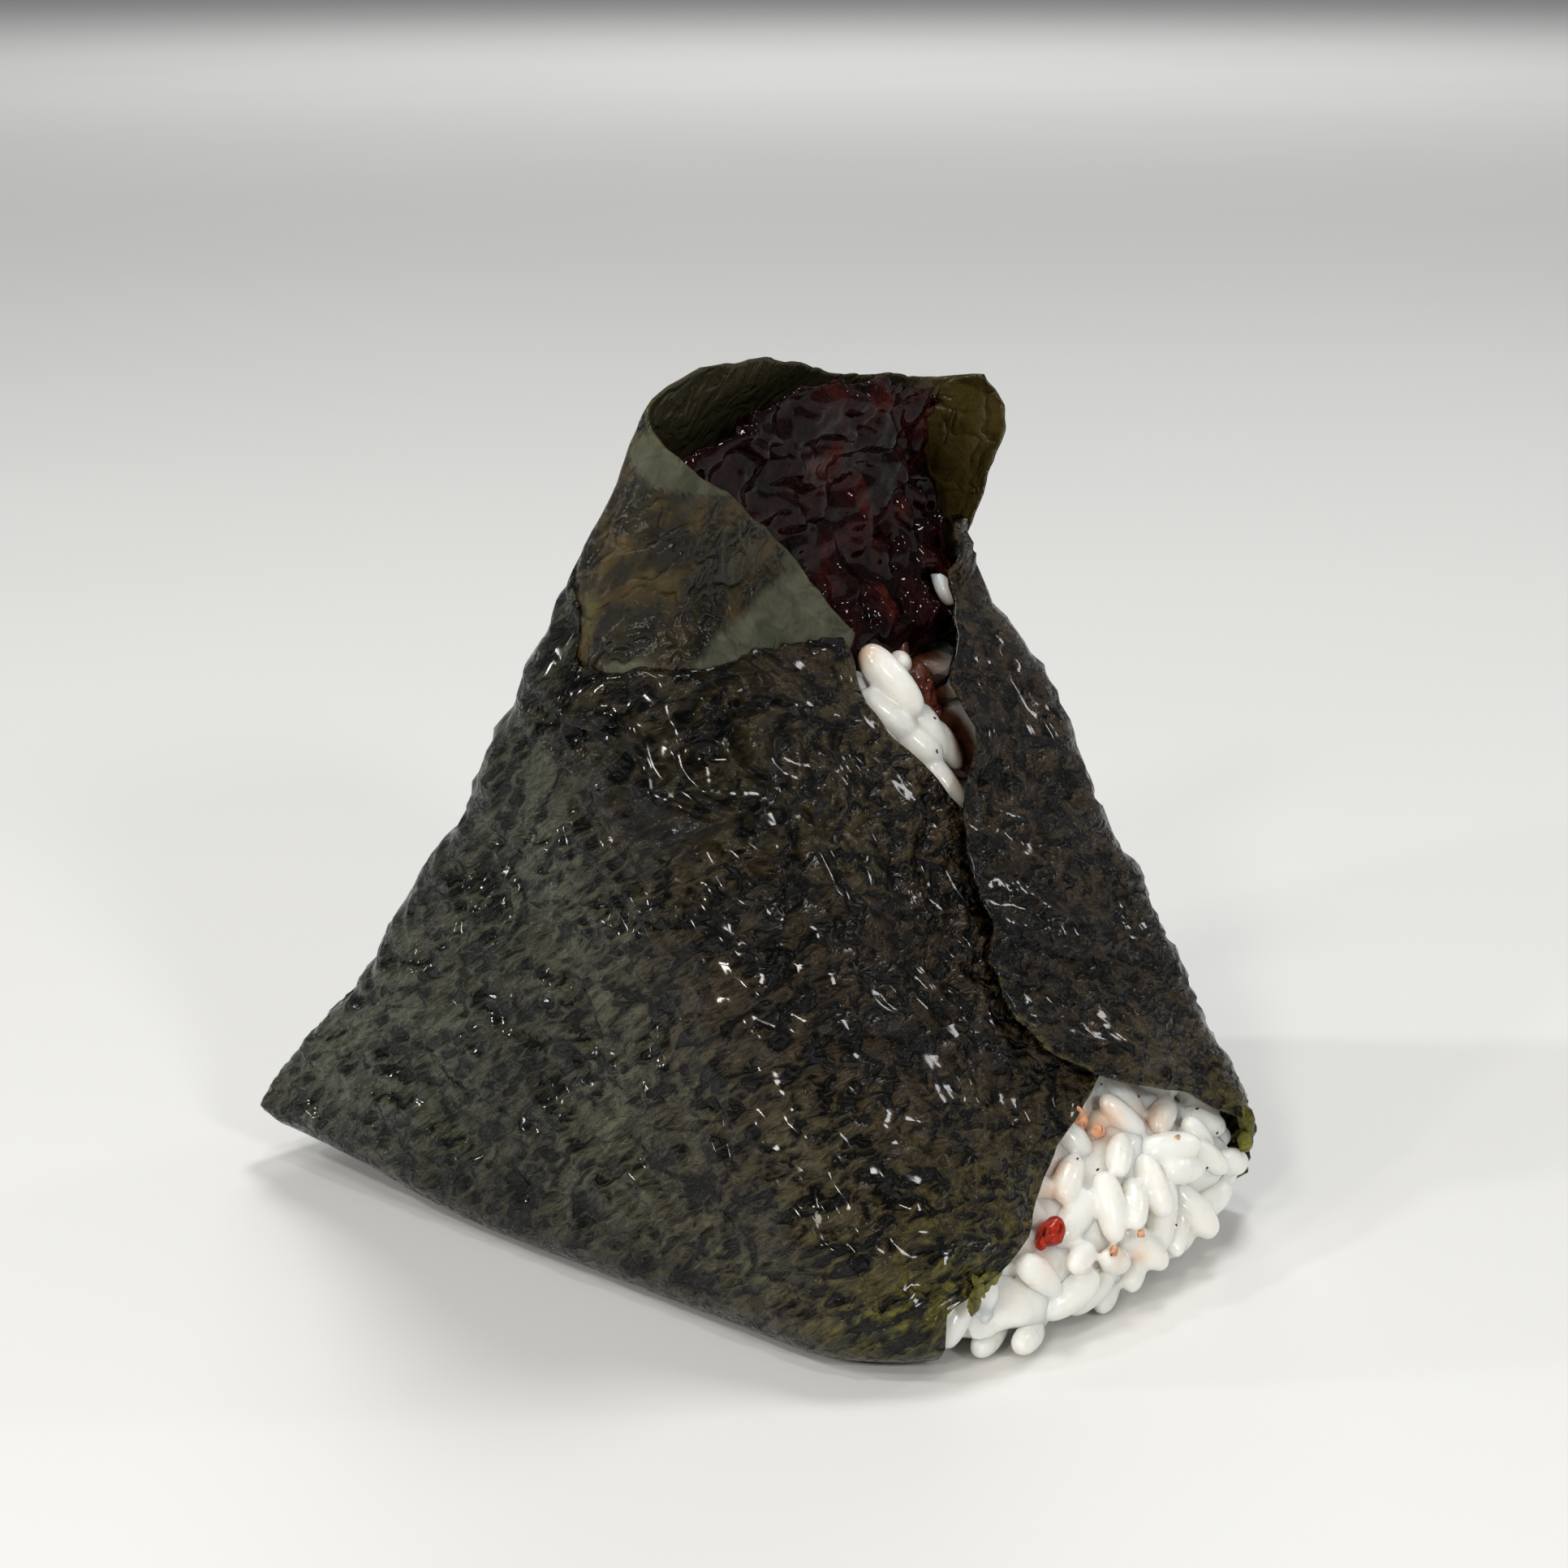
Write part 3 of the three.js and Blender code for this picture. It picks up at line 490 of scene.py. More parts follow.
# ---- Meshes made anew ----
def mesh_evenly(piece, voxel, passes):
    """Meshes a piece anew in cells of voxel mm, which fuses what overlaps, and softens it."""
    remesh = piece.modifiers.new("Even", "REMESH")
    remesh.mode = "VOXEL"
    remesh.voxel_size = voxel * MM
    remesh.use_smooth_shade = True
    soften = piece.modifiers.new("Soften", "SMOOTH")
    soften.factor, soften.iterations = 0.5, passes
    bpy.context.view_layer.update()
    graph = bpy.context.evaluated_depsgraph_get()
    made = bpy.data.meshes.new_from_object(piece.evaluated_get(graph))
    piece.modifiers.clear()
    piece.data = made


def copy_of_node(name, node, voxel):
    """A copy of a solid, evenly meshed, as an object whose points can be moved."""
    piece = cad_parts[node].copy()
    piece.data = piece.data.copy()
    piece.name = name
    piece.data.name = name
    piece.parent = None
    for key in list(piece.keys()):
        del piece[key]
    piece.hide_render = piece.hide_viewport = False
    piece.data.materials.clear()
    bpy.context.scene.collection.objects.link(piece)
    mesh_evenly(piece, voxel, 6)
    return piece


def points_of(piece):
    """Its points and its outward directions, in mm in the ball's own coordinates."""
    count = len(piece.data.vertices)
    places, normals = np.zeros(count * 3), np.zeros(count * 3)
    piece.data.vertices.foreach_get("co", places)
    piece.data.vertex_normals.foreach_get("vector", normals)
    return places.reshape(-1, 3) / MM - SHIFT, normals.reshape(-1, 3)


def move_points(piece, places):
    piece.data.vertices.foreach_set("co", in_box((places + SHIFT) * MM).ravel())
    piece.data.update()


# ---- The filling ----
def filling_mass():
    """The filling, its open top folded and beaded."""
    piece = copy_of_node("filling_mass", "filling", 0.5)
    places, normals = points_of(piece)
    fold = np.stack([places[:, 0] / 5.0, places[:, 1] / 4.8, places[:, 2] / 3.8], -1)
    warp = 0.8 * value_noise(places / 6.0, 100)
    folds = np.abs(value_noise(fold + warp[:, None], 101))
    plies = np.abs(value_noise(fold * 2.1 - warp[:, None], 102))
    beads = value_noise(places / 1.2, 103)
    relief = 1.9 * np.minimum(folds, 0.6) + 0.8 * plies + 0.14 * beads - 0.95
    relief *= smooth(places[:, 2], 56, 60)
    relief = np.clip(relief, -1.1, 0.5)
    move_points(piece, places + normals * relief[:, None])
    return piece


# ---- Rice ----
SLOPE_OUT = np.array([1, 0, RIGHT_RUN]) / math.hypot(1, RIGHT_RUN)
GRAIN_LENGTH, GRAIN_WIDTH, GRAIN_DEPTH = 6.8, 3.2, 2.8
FOOT_RETREAT = 4.0  # the foot of the bare rice draws in towards the back
LAYERS = ((0.4, 0.7), (1.5, -1.0), (2.9, -2.0))  # depth below the surface, least depth in the bare part
LAYER_TRIES = 4500
CLEARANCE = 2.15  # least distance between the spines of two grains
COVERED = 0.9  # from the ball's surface down to the grains that the sheets cover
# Grains in the gap between the flaps, and last one beside the filling:
# y, z, turn in degrees from level, tilt outwards, size, depth below the surface.
GAP_GRAINS = [(4.0, 54.4, -66, 0.0, 1.25, 0.0), (2.6, 51.6, -55, 0.1, 1.0, 1.2),
              (7.3, 50.0, -80, 0.0, 1.1, 0.3), (9.0, 47.6, -80, 0.0, 0.8, 0.9),
              (6.6, 45.2, -74, 0.0, 0.9, 0.7), (5.0, 48.8, -61, 0.1, 0.95, 1.3),
              (8.3, 55.0, 190, 0.96, 0.8, 1.3), (2.6, 58.2, -18, 0.0, 0.85, 2.8),
              (11.0, 55.2, 60, 0.0, 0.9, 3.2), (12.4, 51.6, 75, 0.0, 0.9, 3.2),
              (10.5, 46.5, -70, 0.0, 0.9, 2.8), (4.6, 42.0, -60, 0.0, 0.9, 0.8),
              (18.9, 60.8, 84, 0.0, 0.72, 0.7)]


def bare_depth(y, z):
    """How deep a place on the right slope lies inside the part that is bare of nori."""
    back = np.minimum(curve(BACK_FLAP_EDGE, z), BASE_DEPTH / 2 - 2)
    return np.where(z > RICE_TOP - 1, -1, np.minimum(y - curve(FRONT_FLAP_EDGE, z), back - y))


def on_rice(y, z, outside):
    """A place on the right slope, this far outside the bare rice."""
    y, z = np.atleast_1d(y).astype(float), np.atleast_1d(z).astype(float)
    _, right, _ = extent(z)
    depth = np.minimum(bare_depth(y, z), bare_depth(y, z + 2.5))
    dent = smooth(y, 7, 9.5) * smooth(z, 45, 50) * smooth(right, 4, 8)
    bulge = RICE_BULGE * smooth(right, 26, 36) * smooth(depth, 1.5, 9) - RICE_DENT * dent
    bulge -= FOOT_RETREAT * smooth(y, 7, 17) * smooth(-z, -9, -2)
    return np.stack([right - RICE_INSET + bulge + outside, y, z], -1)


def ring_faces(rings, sides):
    """Faces of a closed skin over rings of points, capped at both ends."""
    faces = []
    for i in range(rings - 1):
        for k in range(sides):
            n = (k + 1) % sides
            faces.append((i * sides + k, i * sides + n, (i + 1) * sides + n, (i + 1) * sides + k))
    faces.append(tuple(range(sides))[::-1])
    faces.append(tuple((rings - 1) * sides + k for k in range(sides)))
    return faces


def grain_shape(seed):
    """One plump grain along Y, slightly bent, with a nick at one end where its germ was."""
    rings, sides = 15, 14
    points = []
    draw = np.random.default_rng(seed)
    bend = draw.uniform(-0.5, 0.5)
    taper = draw.uniform(-0.12, 0.16)
    for i in range(rings):
        t = math.pi * (i + 0.5) / rings
        along = -math.cos(t)
        fat = math.sin(t) ** 0.72 * (1 + taper * along)
        nick = 0.16 * math.exp(-((along - 0.82) / 0.16) ** 2)
        bow = bend * 0.28 * (1 - along * along)
        for k in range(sides):
            a = 2 * math.pi * k / sides
            across = fat * math.cos(a) * (1 - nick * max(math.cos(a), 0))
            points.append((across + bow, along, fat * math.sin(a)))
    half = np.array([GRAIN_WIDTH, GRAIN_LENGTH, GRAIN_DEPTH]) / 2
    return np.array(points) * half, ring_faces(rings, sides)


def spine(place, turn, tilt, size, facing):
    """Three points along a grain."""
    along = turned(facing, turn, tilt)[1]
    return place + np.outer((-0.3, 0, 0.3), along) * GRAIN_LENGTH * size


def grain_places():
    """Where the grains lie: place, turn, tilt, size and facing."""
    made = []
    for y, z, turn, tilt, size, sunk in GAP_GRAINS:
        made.append((on_rice(y, z, -sunk)[0], turn, tilt, size, SLOPE_OUT))
    draw = np.random.default_rng(7)
    spines = np.zeros((0, 3))
    for sunk, least_depth in LAYERS:
        for a, b, c, d, e in draw.uniform(size=(LAYER_TRIES, 5)):
            y, z = -25 + 48.5 * a, 1.3 + 19 * b  # anywhere on the bare corner
            if bare_depth(y, z) < least_depth or y < -15 and z < 4:
                continue
            facing = SLOPE_OUT if z > RIGHT_FOOT else unit(np.array([1, 0, 0.25]))
            turn = (1 - 0.65 * smooth(-z, -6, -2)) * (180 * c - 90)
            rounding = 1.3 * smooth(-z, -6, -1.5)
            place = on_rice(y, z, 0.9 * (e - 0.5) - sunk - rounding)[0]
            grain = (place, turn, 0.8 * (d - 0.5), 0.82 + 0.26 * d, facing)
            points = spine(*grain)
            gaps = np.linalg.norm(spines[:, None] - points, axis=-1)
            if gaps.size and gaps.min() < CLEARANCE:
                continue
            spines = np.concatenate([spines, points])
            made.append(grain)
    return made


def turned(facing, turn, tilt):
    """Rows: side, long way and depth of a grain that lies on a surface facing out."""
    level = np.array([0.0, 1.0, 0.0])
    up = np.cross(facing, level)
    a = math.radians(turn)
    along = math.cos(a) * level + math.sin(a) * up
    along = unit(along + tilt * facing)
    side = unit(np.cross(along, facing))
    return np.stack([side, along, np.cross(side, along)])


def kept_inside(spots):
    """A grain moved so that it stays above the table and inside the sheets where they cover it."""
    spots = spots + np.array([0, 0, max(0.12 - spots[:, 2].min(), 0)])
    z = np.maximum(spots[:, 2], 0)
    _, right, half = extent(z)
    room = half - COVERED
    spots[:, 1] -= max((spots[:, 1] - room).max(), 0) + min((spots[:, 1] + room).min(), 0)
    covered = (bare_depth(spots[:, 1], z) < 0.3) & (z < RICE_TOP - 1)
    proud = np.where(covered, spots[:, 0] - right + COVERED, 0).max()
    spots = spots - SLOPE_OUT * max(proud, 0)
    centre = np.stack([right - FRONT_RADIUS, FRONT_RADIUS - half], -1)
    reach = spots[:, :2] - centre
    near = (reach[:, 0] > 0) & (reach[:, 1] < 0)
    over = np.where(near, np.linalg.norm(reach, axis=1) - FRONT_RADIUS + COVERED, 0)
    worst = over.argmax()
    if over[worst] > 0:
        spots[:, :2] -= unit(reach[worst]) * over[worst]
    return spots


def joined(name, parts):
    """One object from parts of points and faces."""
    points, faces, count = [], [], 0
    for spots, own_faces in parts:
        points.append(spots)
        faces.extend(tuple(k + count for k in face) for face in own_faces)
        count += len(spots)
    return new_mesh(name, np.concatenate(points), faces)


def rice_grains():
    """The grains that show, fused where they touch."""
    shapes = [grain_shape(seed) for seed in range(6)]
    parts = []
    for i, (place, turn, tilt, size, facing) in enumerate(grain_places()):
        shape, faces = shapes[i % len(shapes)]
        parts.append((kept_inside(shape * size @ turned(facing, turn, tilt) + place), faces))
    piece = joined("rice_grains", parts)
    mesh_evenly(piece, 0.27, 2)
    return piece


# Warm stains on the rice: y, z, radius, strength.
STAINS = [(-3.2, 15.6, 3.0, 0.9), (6, 58.6, 3.4, 0.5), (10, 54.5, 2.6, 0.8), (-9.5, 7.5, 2.2, 0.5),
          (5.2, 15.6, 3.0, 0.6), (12, 14.5, 3.0, 0.5), (-1.5, 6.2, 1.6, 0.55), (2.6, 5.0, 1.3, 0.5),
          (1.8, 57.6, 2.2, 0.6), (7.5, 45, 2.5, 0.4), (-5, 12, 2, 0.5)]
# Rice behind the gap, painted dark brown both for the filling's juice that soaks it and as painted
# shade of the hollow there: y, z, radius.
SOAK_AND_SHADE_SPOTS = [(13, 55.5, 3.6), (13, 51.5, 3.4), (12.7, 47, 3.8), (15, 56, 4.2)]


def stained(places):
    """How warmly each place is stained, 0 to 1."""
    total = np.zeros(len(places))
    for y, z, radius, strength in STAINS:
        centre = on_rice(y, z, 0)[0]
        away = np.linalg.norm(places - centre, axis=1) / radius
        total = np.maximum(total, strength * np.exp(-away**2))
    return total


def soak_and_shade(places):
    """How dark each place is painted, for the filling's juice and as painted shade of the hollow, 0 to
    1.
    """
    total = np.zeros(len(places))
    for y, z, radius in SOAK_AND_SHADE_SPOTS:
        away = np.hypot(places[:, 1] - y, places[:, 2] - z) / radius
        total = np.maximum(total, smooth(-away, -1.25, -0.8) * (places[:, 0] > 0))
    return total


def rice_core():
    """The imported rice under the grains."""
    piece = copy_of_node("rice_core", "rice", 1.1)
    places, normals = points_of(piece)
    lumps = 0.35 * value_noise(places / 3.2, 120)
    gap = smooth(places[:, 2], 40, 45) * smooth(places[:, 1], 1, 4)
    tucked = smooth(places[:, 2], 50, 55) * smooth(places[:, 1], 8, 13)
    sunk = (2.6 * gap + 2.8 * tucked) * smooth(places[:, 0], 0, 4)
    moved = places + normals * (lumps - 0.4 - sunk)[:, None]
    rim = smooth(-bare_depth(moved[:, 1], moved[:, 2]), -2.5, -0.5)
    room = extent(moved[:, 2])[2] - 1.6
    under_grains = on_rice(moved[:, 1], moved[:, 2], lumps - 1.3 - 1.9 * rim)[:, 0]
    moved[:, 0] = np.minimum(moved[:, 0], under_grains)
    moved[:, 1] = np.clip(moved[:, 1], -room, room)
    dip = 3.6 * smooth(places[:, 1], 5, 10) * smooth(places[:, 0], -2, 2)
    moved[:, 2] = np.clip(moved[:, 2], 0.9, RICE_TOP - dip + 1.2 * lumps)
    move_points(piece, moved)
    return piece


# ---- Bits on the rice ----
def lump(centre, size, seed, turn):
    """Points and faces of a small rough lump, mm."""
    rings, sides = 9, 12
    points = []
    for i in range(rings):
        t = math.pi * (i + 0.5) / rings
        for k in range(sides):
            a = 2 * math.pi * k / sides
            points.append((math.sin(t) * math.cos(a), math.sin(t) * math.sin(a), -math.cos(t)))
    unit_points = np.array(points)
    rough = 1 + 0.28 * value_noise(unit_points * 1.6 + 5.0 * seed, 130 + seed)
    spots = unit_points * rough[:, None] * np.array(size) / 2
    c, n = math.cos(turn), math.sin(turn)
    spin = np.array([[1, 0, 0], [0, c, -n], [0, n, c]])
    return spots @ spin.T + centre, ring_faces(rings, sides)


def bits(name, seed, placed):
    """Small pieces on the rice: y, z, size in mm, turn, how far out."""
    lumps = []
    for i, (y, z, size, turn, out) in enumerate(placed):
        lumps.append(lump(on_rice(y, z, out)[0], size, seed + i, turn))
    return joined(name, lumps)


def red_bits():
    return bits("red_bits", 0, [
        (-7.4, 9.7, (2.6, 2.9, 2.4), 0.3, 0.8),
        (-8.9, 9.2, (1.2, 1.5, 1.0), 0.9, 0.8),
    ])


def brown_bits():
    return bits("brown_bits", 9, [
        (8.0, 52.6, (2.2, 2.1, 3.2), 0.3, 0.3),
        (8.8, 50.4, (2.0, 1.6, 2.4), -0.3, 0.0),
    ])


def pale_shreds():
    return bits("pale_shreds", 5, [
        (2.6, 16.9, (1.2, 1.5, 2.8), 0.5, 0.5),
        (3.9, 15.4, (1.2, 2.4, 1.3), -0.5, 0.8),
        (11.3, 13.2, (0.8, 1.3, 0.9), 0.3, 1.2),
        (-2.4, 7.3, (0.8, 0.9, 1.1), 0.5, 1.0),
        (1.6, 7.7, (0.7, 0.8, 0.7), 0.2, 1.2),
    ])


def nori_flakes():
    """Shreds of nori that hang from the torn edge at the foot, and the thick tip of the back flap."""
    draw = np.random.default_rng(17)
    placed = [(24.6, 11.2, (1.6, 1.8, 3.2), 0.3, 0.9), (23.6, 9.4, (1.4, 1.3, 2.2), -0.4, 0.7)]
    for i in range(9):
        y = -19.5 + 0.6 * i + draw.uniform(-0.3, 0.3)
        z = 8.0 + 0.2 * i + draw.uniform(-1.8, 0.9)
        size = (0.3, draw.uniform(0.9, 2.0), draw.uniform(1.0, 3.0))
        placed.append((y, z, size, draw.uniform(-1.0, 0.9), 0.85))
    return bits("nori_flakes", 20, placed)


def nori_specks():
    """Specks of nori strewn on the bare rice."""
    draw = np.random.default_rng(31)
    placed = []
    while len(placed) < 14:
        y, z = draw.uniform(-18, 24), draw.uniform(3, 19)
        if bare_depth(y, z) > 1.5:
            wide = draw.uniform(0.14, 0.26)
            size = (wide, wide, wide * draw.uniform(0.8, 2.4))
            placed.append((y, z, size, draw.uniform(0, 3), 0.95))
    placed += [(6.6, 50.8, (0.24, 0.22, 0.4), 0.9, 1.0), (5.3, 48.0, (0.2, 0.2, 0.5), 0.2, 0.6)]
    return bits("nori_specks", 40, placed)


# ---- Materials ----
class Paint:
    """A material and short calls for its nodes."""

    def __init__(self, name):
        self.material = bpy.data.materials.new(name)
        self.material.use_nodes = True
        self.tree = self.material.node_tree
        self.shader = self.tree.nodes["Principled BSDF"]
        self.coordinates = self.node("ShaderNodeTexCoord").outputs["Object"]

    def node(self, kind, **settings):
        made = self.tree.nodes.new(kind)
        for key, value in settings.items():
            setattr(made, key, value)
        return made

    def link(self, source, target):
        self.tree.links.new(source, target)

    def set(self, **values):
        for key, value in values.items():
            self.shader.inputs[key.replace("_", " ")].default_value = value

    def noise(self, per_mm, detail=3.0, long=(1, 1, 1), turn=(0, 0, 0), rough=0.55, warp=0.0):
        """Noise from 0 to 1, per_mm bumps a millimetre, each bump drawn out by long and then turned."""
        mapping = self.node("ShaderNodeMapping", vector_type="TEXTURE")
        mapping.inputs["Scale"].default_value = long
        mapping.inputs["Rotation"].default_value = turn
        self.link(self.coordinates, mapping.inputs["Vector"])
        made = self.node("ShaderNodeTexNoise")
        made.inputs["Scale"].default_value = per_mm / MM
        made.inputs["Detail"].default_value = detail
        made.inputs["Roughness"].default_value = rough
        made.inputs["Distortion"].default_value = warp
        self.link(mapping.outputs["Vector"], made.inputs["Vector"])
        return made.outputs["Fac"]

    def folds(self, per_mm, long, turn, warp):
        """Sharp creases at 0.5 between soft bulges up to 1, per_mm of them a millimetre."""
        made = self.noise(per_mm, 1.6, long, (0, turn, 0), rough=0.4, warp=warp)
        return self.range(self.away(made, 0.5), -0.22, 0.22)

    def blend(self, share, a, b):
        """Number a where share is 0, b where it is 1."""
        made = self.node("ShaderNodeMix", data_type="FLOAT")
        self.link(share, made.inputs[0])
        self.link(a, made.inputs[2])
        self.link(b, made.inputs[3])
        return made.outputs[0]

    def attribute(self, name):
        return self.node("ShaderNodeAttribute", attribute_name=name).outputs["Fac"]

    def ramp(self, value, *stops):
        """Colours at positions along value."""
        made = self.node("ShaderNodeValToRGB")
        ramp = made.color_ramp
        while len(ramp.elements) < len(stops):
            ramp.elements.new(0.5)
        for element, (position, colour) in zip(ramp.elements, stops):
            element.position = position
            element.color = (*colour, 1.0)
        self.link(value, made.inputs["Fac"])
        return made.outputs["Color"]

    def range(self, value, low, high, new_low=0.0, new_high=1.0):
        """Smoothly from new_low, below low, to new_high, above high."""
        made = self.node("ShaderNodeMapRange", interpolation_type="SMOOTHSTEP")
        self.link(value, made.inputs["Value"])
        bounds = {"From Min": low, "From Max": high, "To Min": new_low, "To Max": new_high}
        for key, number in bounds.items():
            made.inputs[key].default_value = number
        return made.outputs["Result"]

    def mix(self, share, a, b):
        """Colour a where share is 0, b where it is 1."""
        made = self.node("ShaderNodeMix", data_type="RGBA")
        self.link(share, made.inputs[0])
        for socket, colour in ((made.inputs[6], a), (made.inputs[7], b)):
            if isinstance(colour, tuple):
                socket.default_value = (*colour, 1.0)
            else:
                self.link(colour, socket)
        return made.outputs[2]

    def math(self, kind, a, b):
        made = self.node("ShaderNodeMath", operation=kind)
        for socket, value in zip(made.inputs, (a, b)):
            if isinstance(value, (int, float)):
                socket.default_value = value
            else:
                self.link(value, socket)
        return made.outputs[0]

    def plus(self, a, b):
        return self.math("ADD", a, b)

    def times(self, a, b):
        return self.math("MULTIPLY", a, b)

    def away(self, value, middle):
        """How far value is from middle."""
        return self.math("ABSOLUTE", self.math("SUBTRACT", value, middle), 0)

    def bump(self, height, depth_mm):
        made = self.node("ShaderNodeBump")
        made.inputs["Strength"].default_value = 1.0
        made.inputs["Distance"].default_value = depth_mm * MM
        self.link(height, made.inputs["Height"])
        self.link(made.outputs["Normal"], self.shader.inputs["Normal"])


def nori_main_paint():
    """Damp nori: a felt of grey-green and brown, full of small pits whose edges glint, with painted
    shade darkening its pits, low streaks and low felt.
    """
    paint = Paint("nori_main")
    slack = paint.attribute("slack")
    steep = paint.folds(0.27, (2.8, 1.3, 0.85), -0.95, 0.5)
    level = paint.folds(0.25, (2.0, 1.3, 0.9), -0.3, 0.7)
    wrinkles = paint.blend(paint.range(paint.noise(0.06, 1), 0.42, 0.58), steep, level)
    patches = paint.noise(0.05, 3, warp=0.5)
    pores = paint.noise(0.72, 2.5, (2.0, 1.3, 0.75), (0, -0.6, 0), warp=0.7)
    closed = paint.plus(paint.times(wrinkles, 0.5), paint.times(patches, 0.25))
    felt = paint.plus(pores, closed)
    raised = paint.range(felt, 0.85, 1.12)
    pits = paint.range(felt, 0.87, 0.96)
    green = paint.ramp(patches, (0.36, (0.028, 0.028, 0.015)), (0.5, (0.048, 0.049, 0.029)),
                       (0.66, (0.078, 0.085, 0.056)))
    brown = paint.ramp(patches, (0.36, (0.026, 0.0155, 0.0070)), (0.5, (0.046, 0.0285, 0.0130)),
                       (0.66, (0.066, 0.050, 0.0210)))
    tone = paint.mix(paint.attribute("brown"), green, brown)
    shaded = paint.mix(paint.times(slack, 0.7), tone, (0.017, 0.0135, 0.0035))
    thin = paint.ramp(pores, (0.4, (0.030, 0.029, 0.005)), (0.6, (0.13, 0.12, 0.015)))
    olive = paint.mix(paint.attribute("olive"), shaded, thin)
    streaks = paint.noise(1.1, 3.0, (3.0, 1.5, 0.7), (0, -0.75, 0), rough=0.6, warp=0.3)
    # Painted shade: low streaks, low felt and pits get near-black colour, standing in for the shade in
    # the creases and hollows of the relief.
    streak_shaded = paint.mix(paint.range(streaks, 0.38, 0.6, 0.65, 0.0), olive, (0.004, 0.0035, 0.002))
    soft = paint.mix(raised, (0.0050, 0.0046, 0.0030), streak_shaded)
    colour = paint.mix(pits, (0.0008, 0.0007, 0.0005), soft)
    paint.link(colour, paint.shader.inputs["Base Color"])
    loose = paint.times(paint.folds(0.17, (1.6, 1.0, 0.8), -0.35, 0.8), slack)
    relief = paint.plus(paint.times(felt, 0.9), paint.times(streaks, 0.25))
    dented = paint.plus(relief, paint.times(pits, 0.2))
    smoothed = paint.times(dented, paint.range(slack, 0.0, 1.0, 1.0, 0.4))
    paint.bump(paint.plus(smoothed, paint.times(loose, 2.1)), 2.5)
    dry = paint.range(paint.away(felt, 0.96), 0.02, 0.24, 0.12, 0.42)
    rough = paint.plus(dry, paint.times(slack, -0.2))
    paint.link(paint.math("MAXIMUM", rough, 0.13), paint.shader.inputs["Roughness"])
    paint.set(Specular_IOR_Level=0.16, Coat_Weight=0.22, Coat_Roughness=0.08)
    return paint.material


def nori_collar_paint():
    """Drier nori: mottled gold and black, with a pale dry band, a plain lining and an olive tongue."""
    paint = Paint("nori_collar")
    patches = paint.noise(0.13, 4, warp=0.8)
    gold = paint.ramp(patches, (0.40, (0.0060, 0.0052, 0.0020)), (0.5, (0.020, 0.0150, 0.0040)),
                      (0.58, (0.046, 0.0270, 0.0046)), (0.68, (0.056, 0.050, 0.013)))
    mottle = paint.noise(0.42, 3, (1.8, 1.2, 0.9), (0, -0.7, 0), warp=0.6)
    outside = paint.mix(paint.range(mottle, 0.38, 0.58, 0.85, 0.0), gold, (0.0040, 0.0036, 0.0016))
    pale = paint.ramp(mottle, (0.36, (0.036, 0.038, 0.021)), (0.62, (0.074, 0.076, 0.047)))
    dry = paint.attribute("dry")
    tongue = paint.range(paint.attribute("along"), 38, 46)
    olive = paint.ramp(patches, (0.35, (0.022, 0.0155, 0.0040)), (0.62, (0.052, 0.036, 0.0085)))
    lining = paint.mix(tongue, (0.028, 0.025, 0.012), olive)
    sides = paint.mix(paint.attribute("inside"), paint.mix(dry, outside, pale), lining)
    rim = paint.range(paint.attribute("edge"), 0.0, 0.4, 1.0, 0.0)
    colour = paint.mix(paint.times(rim, 0.5), sides, (0.07, 0.062, 0.02))
    paint.link(colour, paint.shader.inputs["Base Color"])
    damp = paint.range(patches, 0.42, 0.62, 0.24, 0.42)
    paint.link(paint.plus(damp, paint.times(dry, 0.2)), paint.shader.inputs["Roughness"])
    worms = paint.folds(0.42, (1.6, 1.0, 0.9), -0.6, 0.8)
    height = paint.plus(worms, paint.times(paint.noise(1.3, 3), 0.3))
    paint.bump(paint.times(height, paint.range(dry, 0, 1, 1.0, 0.5)), 0.5)
    paint.set(Specular_IOR_Level=0.24)
    return paint.material


# Colours of the glossy things, from their dark to their light patches.
FILLING = ((0.0050, 0.0008, 0.0009), (0.014, 0.0014, 0.0014), (0.050, 0.0065, 0.0040))
RED = ((0.42, 0.030, 0.014), (0.50, 0.045, 0.020), (0.55, 0.08, 0.03))
BROWN = ((0.030, 0.007, 0.005), (0.060, 0.013, 0.008), (0.12, 0.032, 0.018))
PEACH = ((0.72, 0.34, 0.19), (0.78, 0.42, 0.25), (0.80, 0.50, 0.32))
OLIVE = ((0.050, 0.045, 0.008), (0.15, 0.14, 0.022), (0.30, 0.28, 0.06))


def glossy_paint(name, colours):
    """Wet and beaded, as the filling and the bits of it are."""
    paint = Paint(name)
    patches = paint.noise(0.17, 3, warp=0.8)
    colour = paint.ramp(patches, (0.4, colours[0]), (0.56, colours[1]), (0.74, colours[2]))
    paint.link(colour, paint.shader.inputs["Base Color"])
    beads = paint.noise(0.62, 1, warp=0.6)
    paint.bump(beads, 2.9)
    paint.set(Roughness=0.3, Specular_IOR_Level=0.02, Coat_Weight=0.26, Coat_Roughness=0.03)
    return paint.material


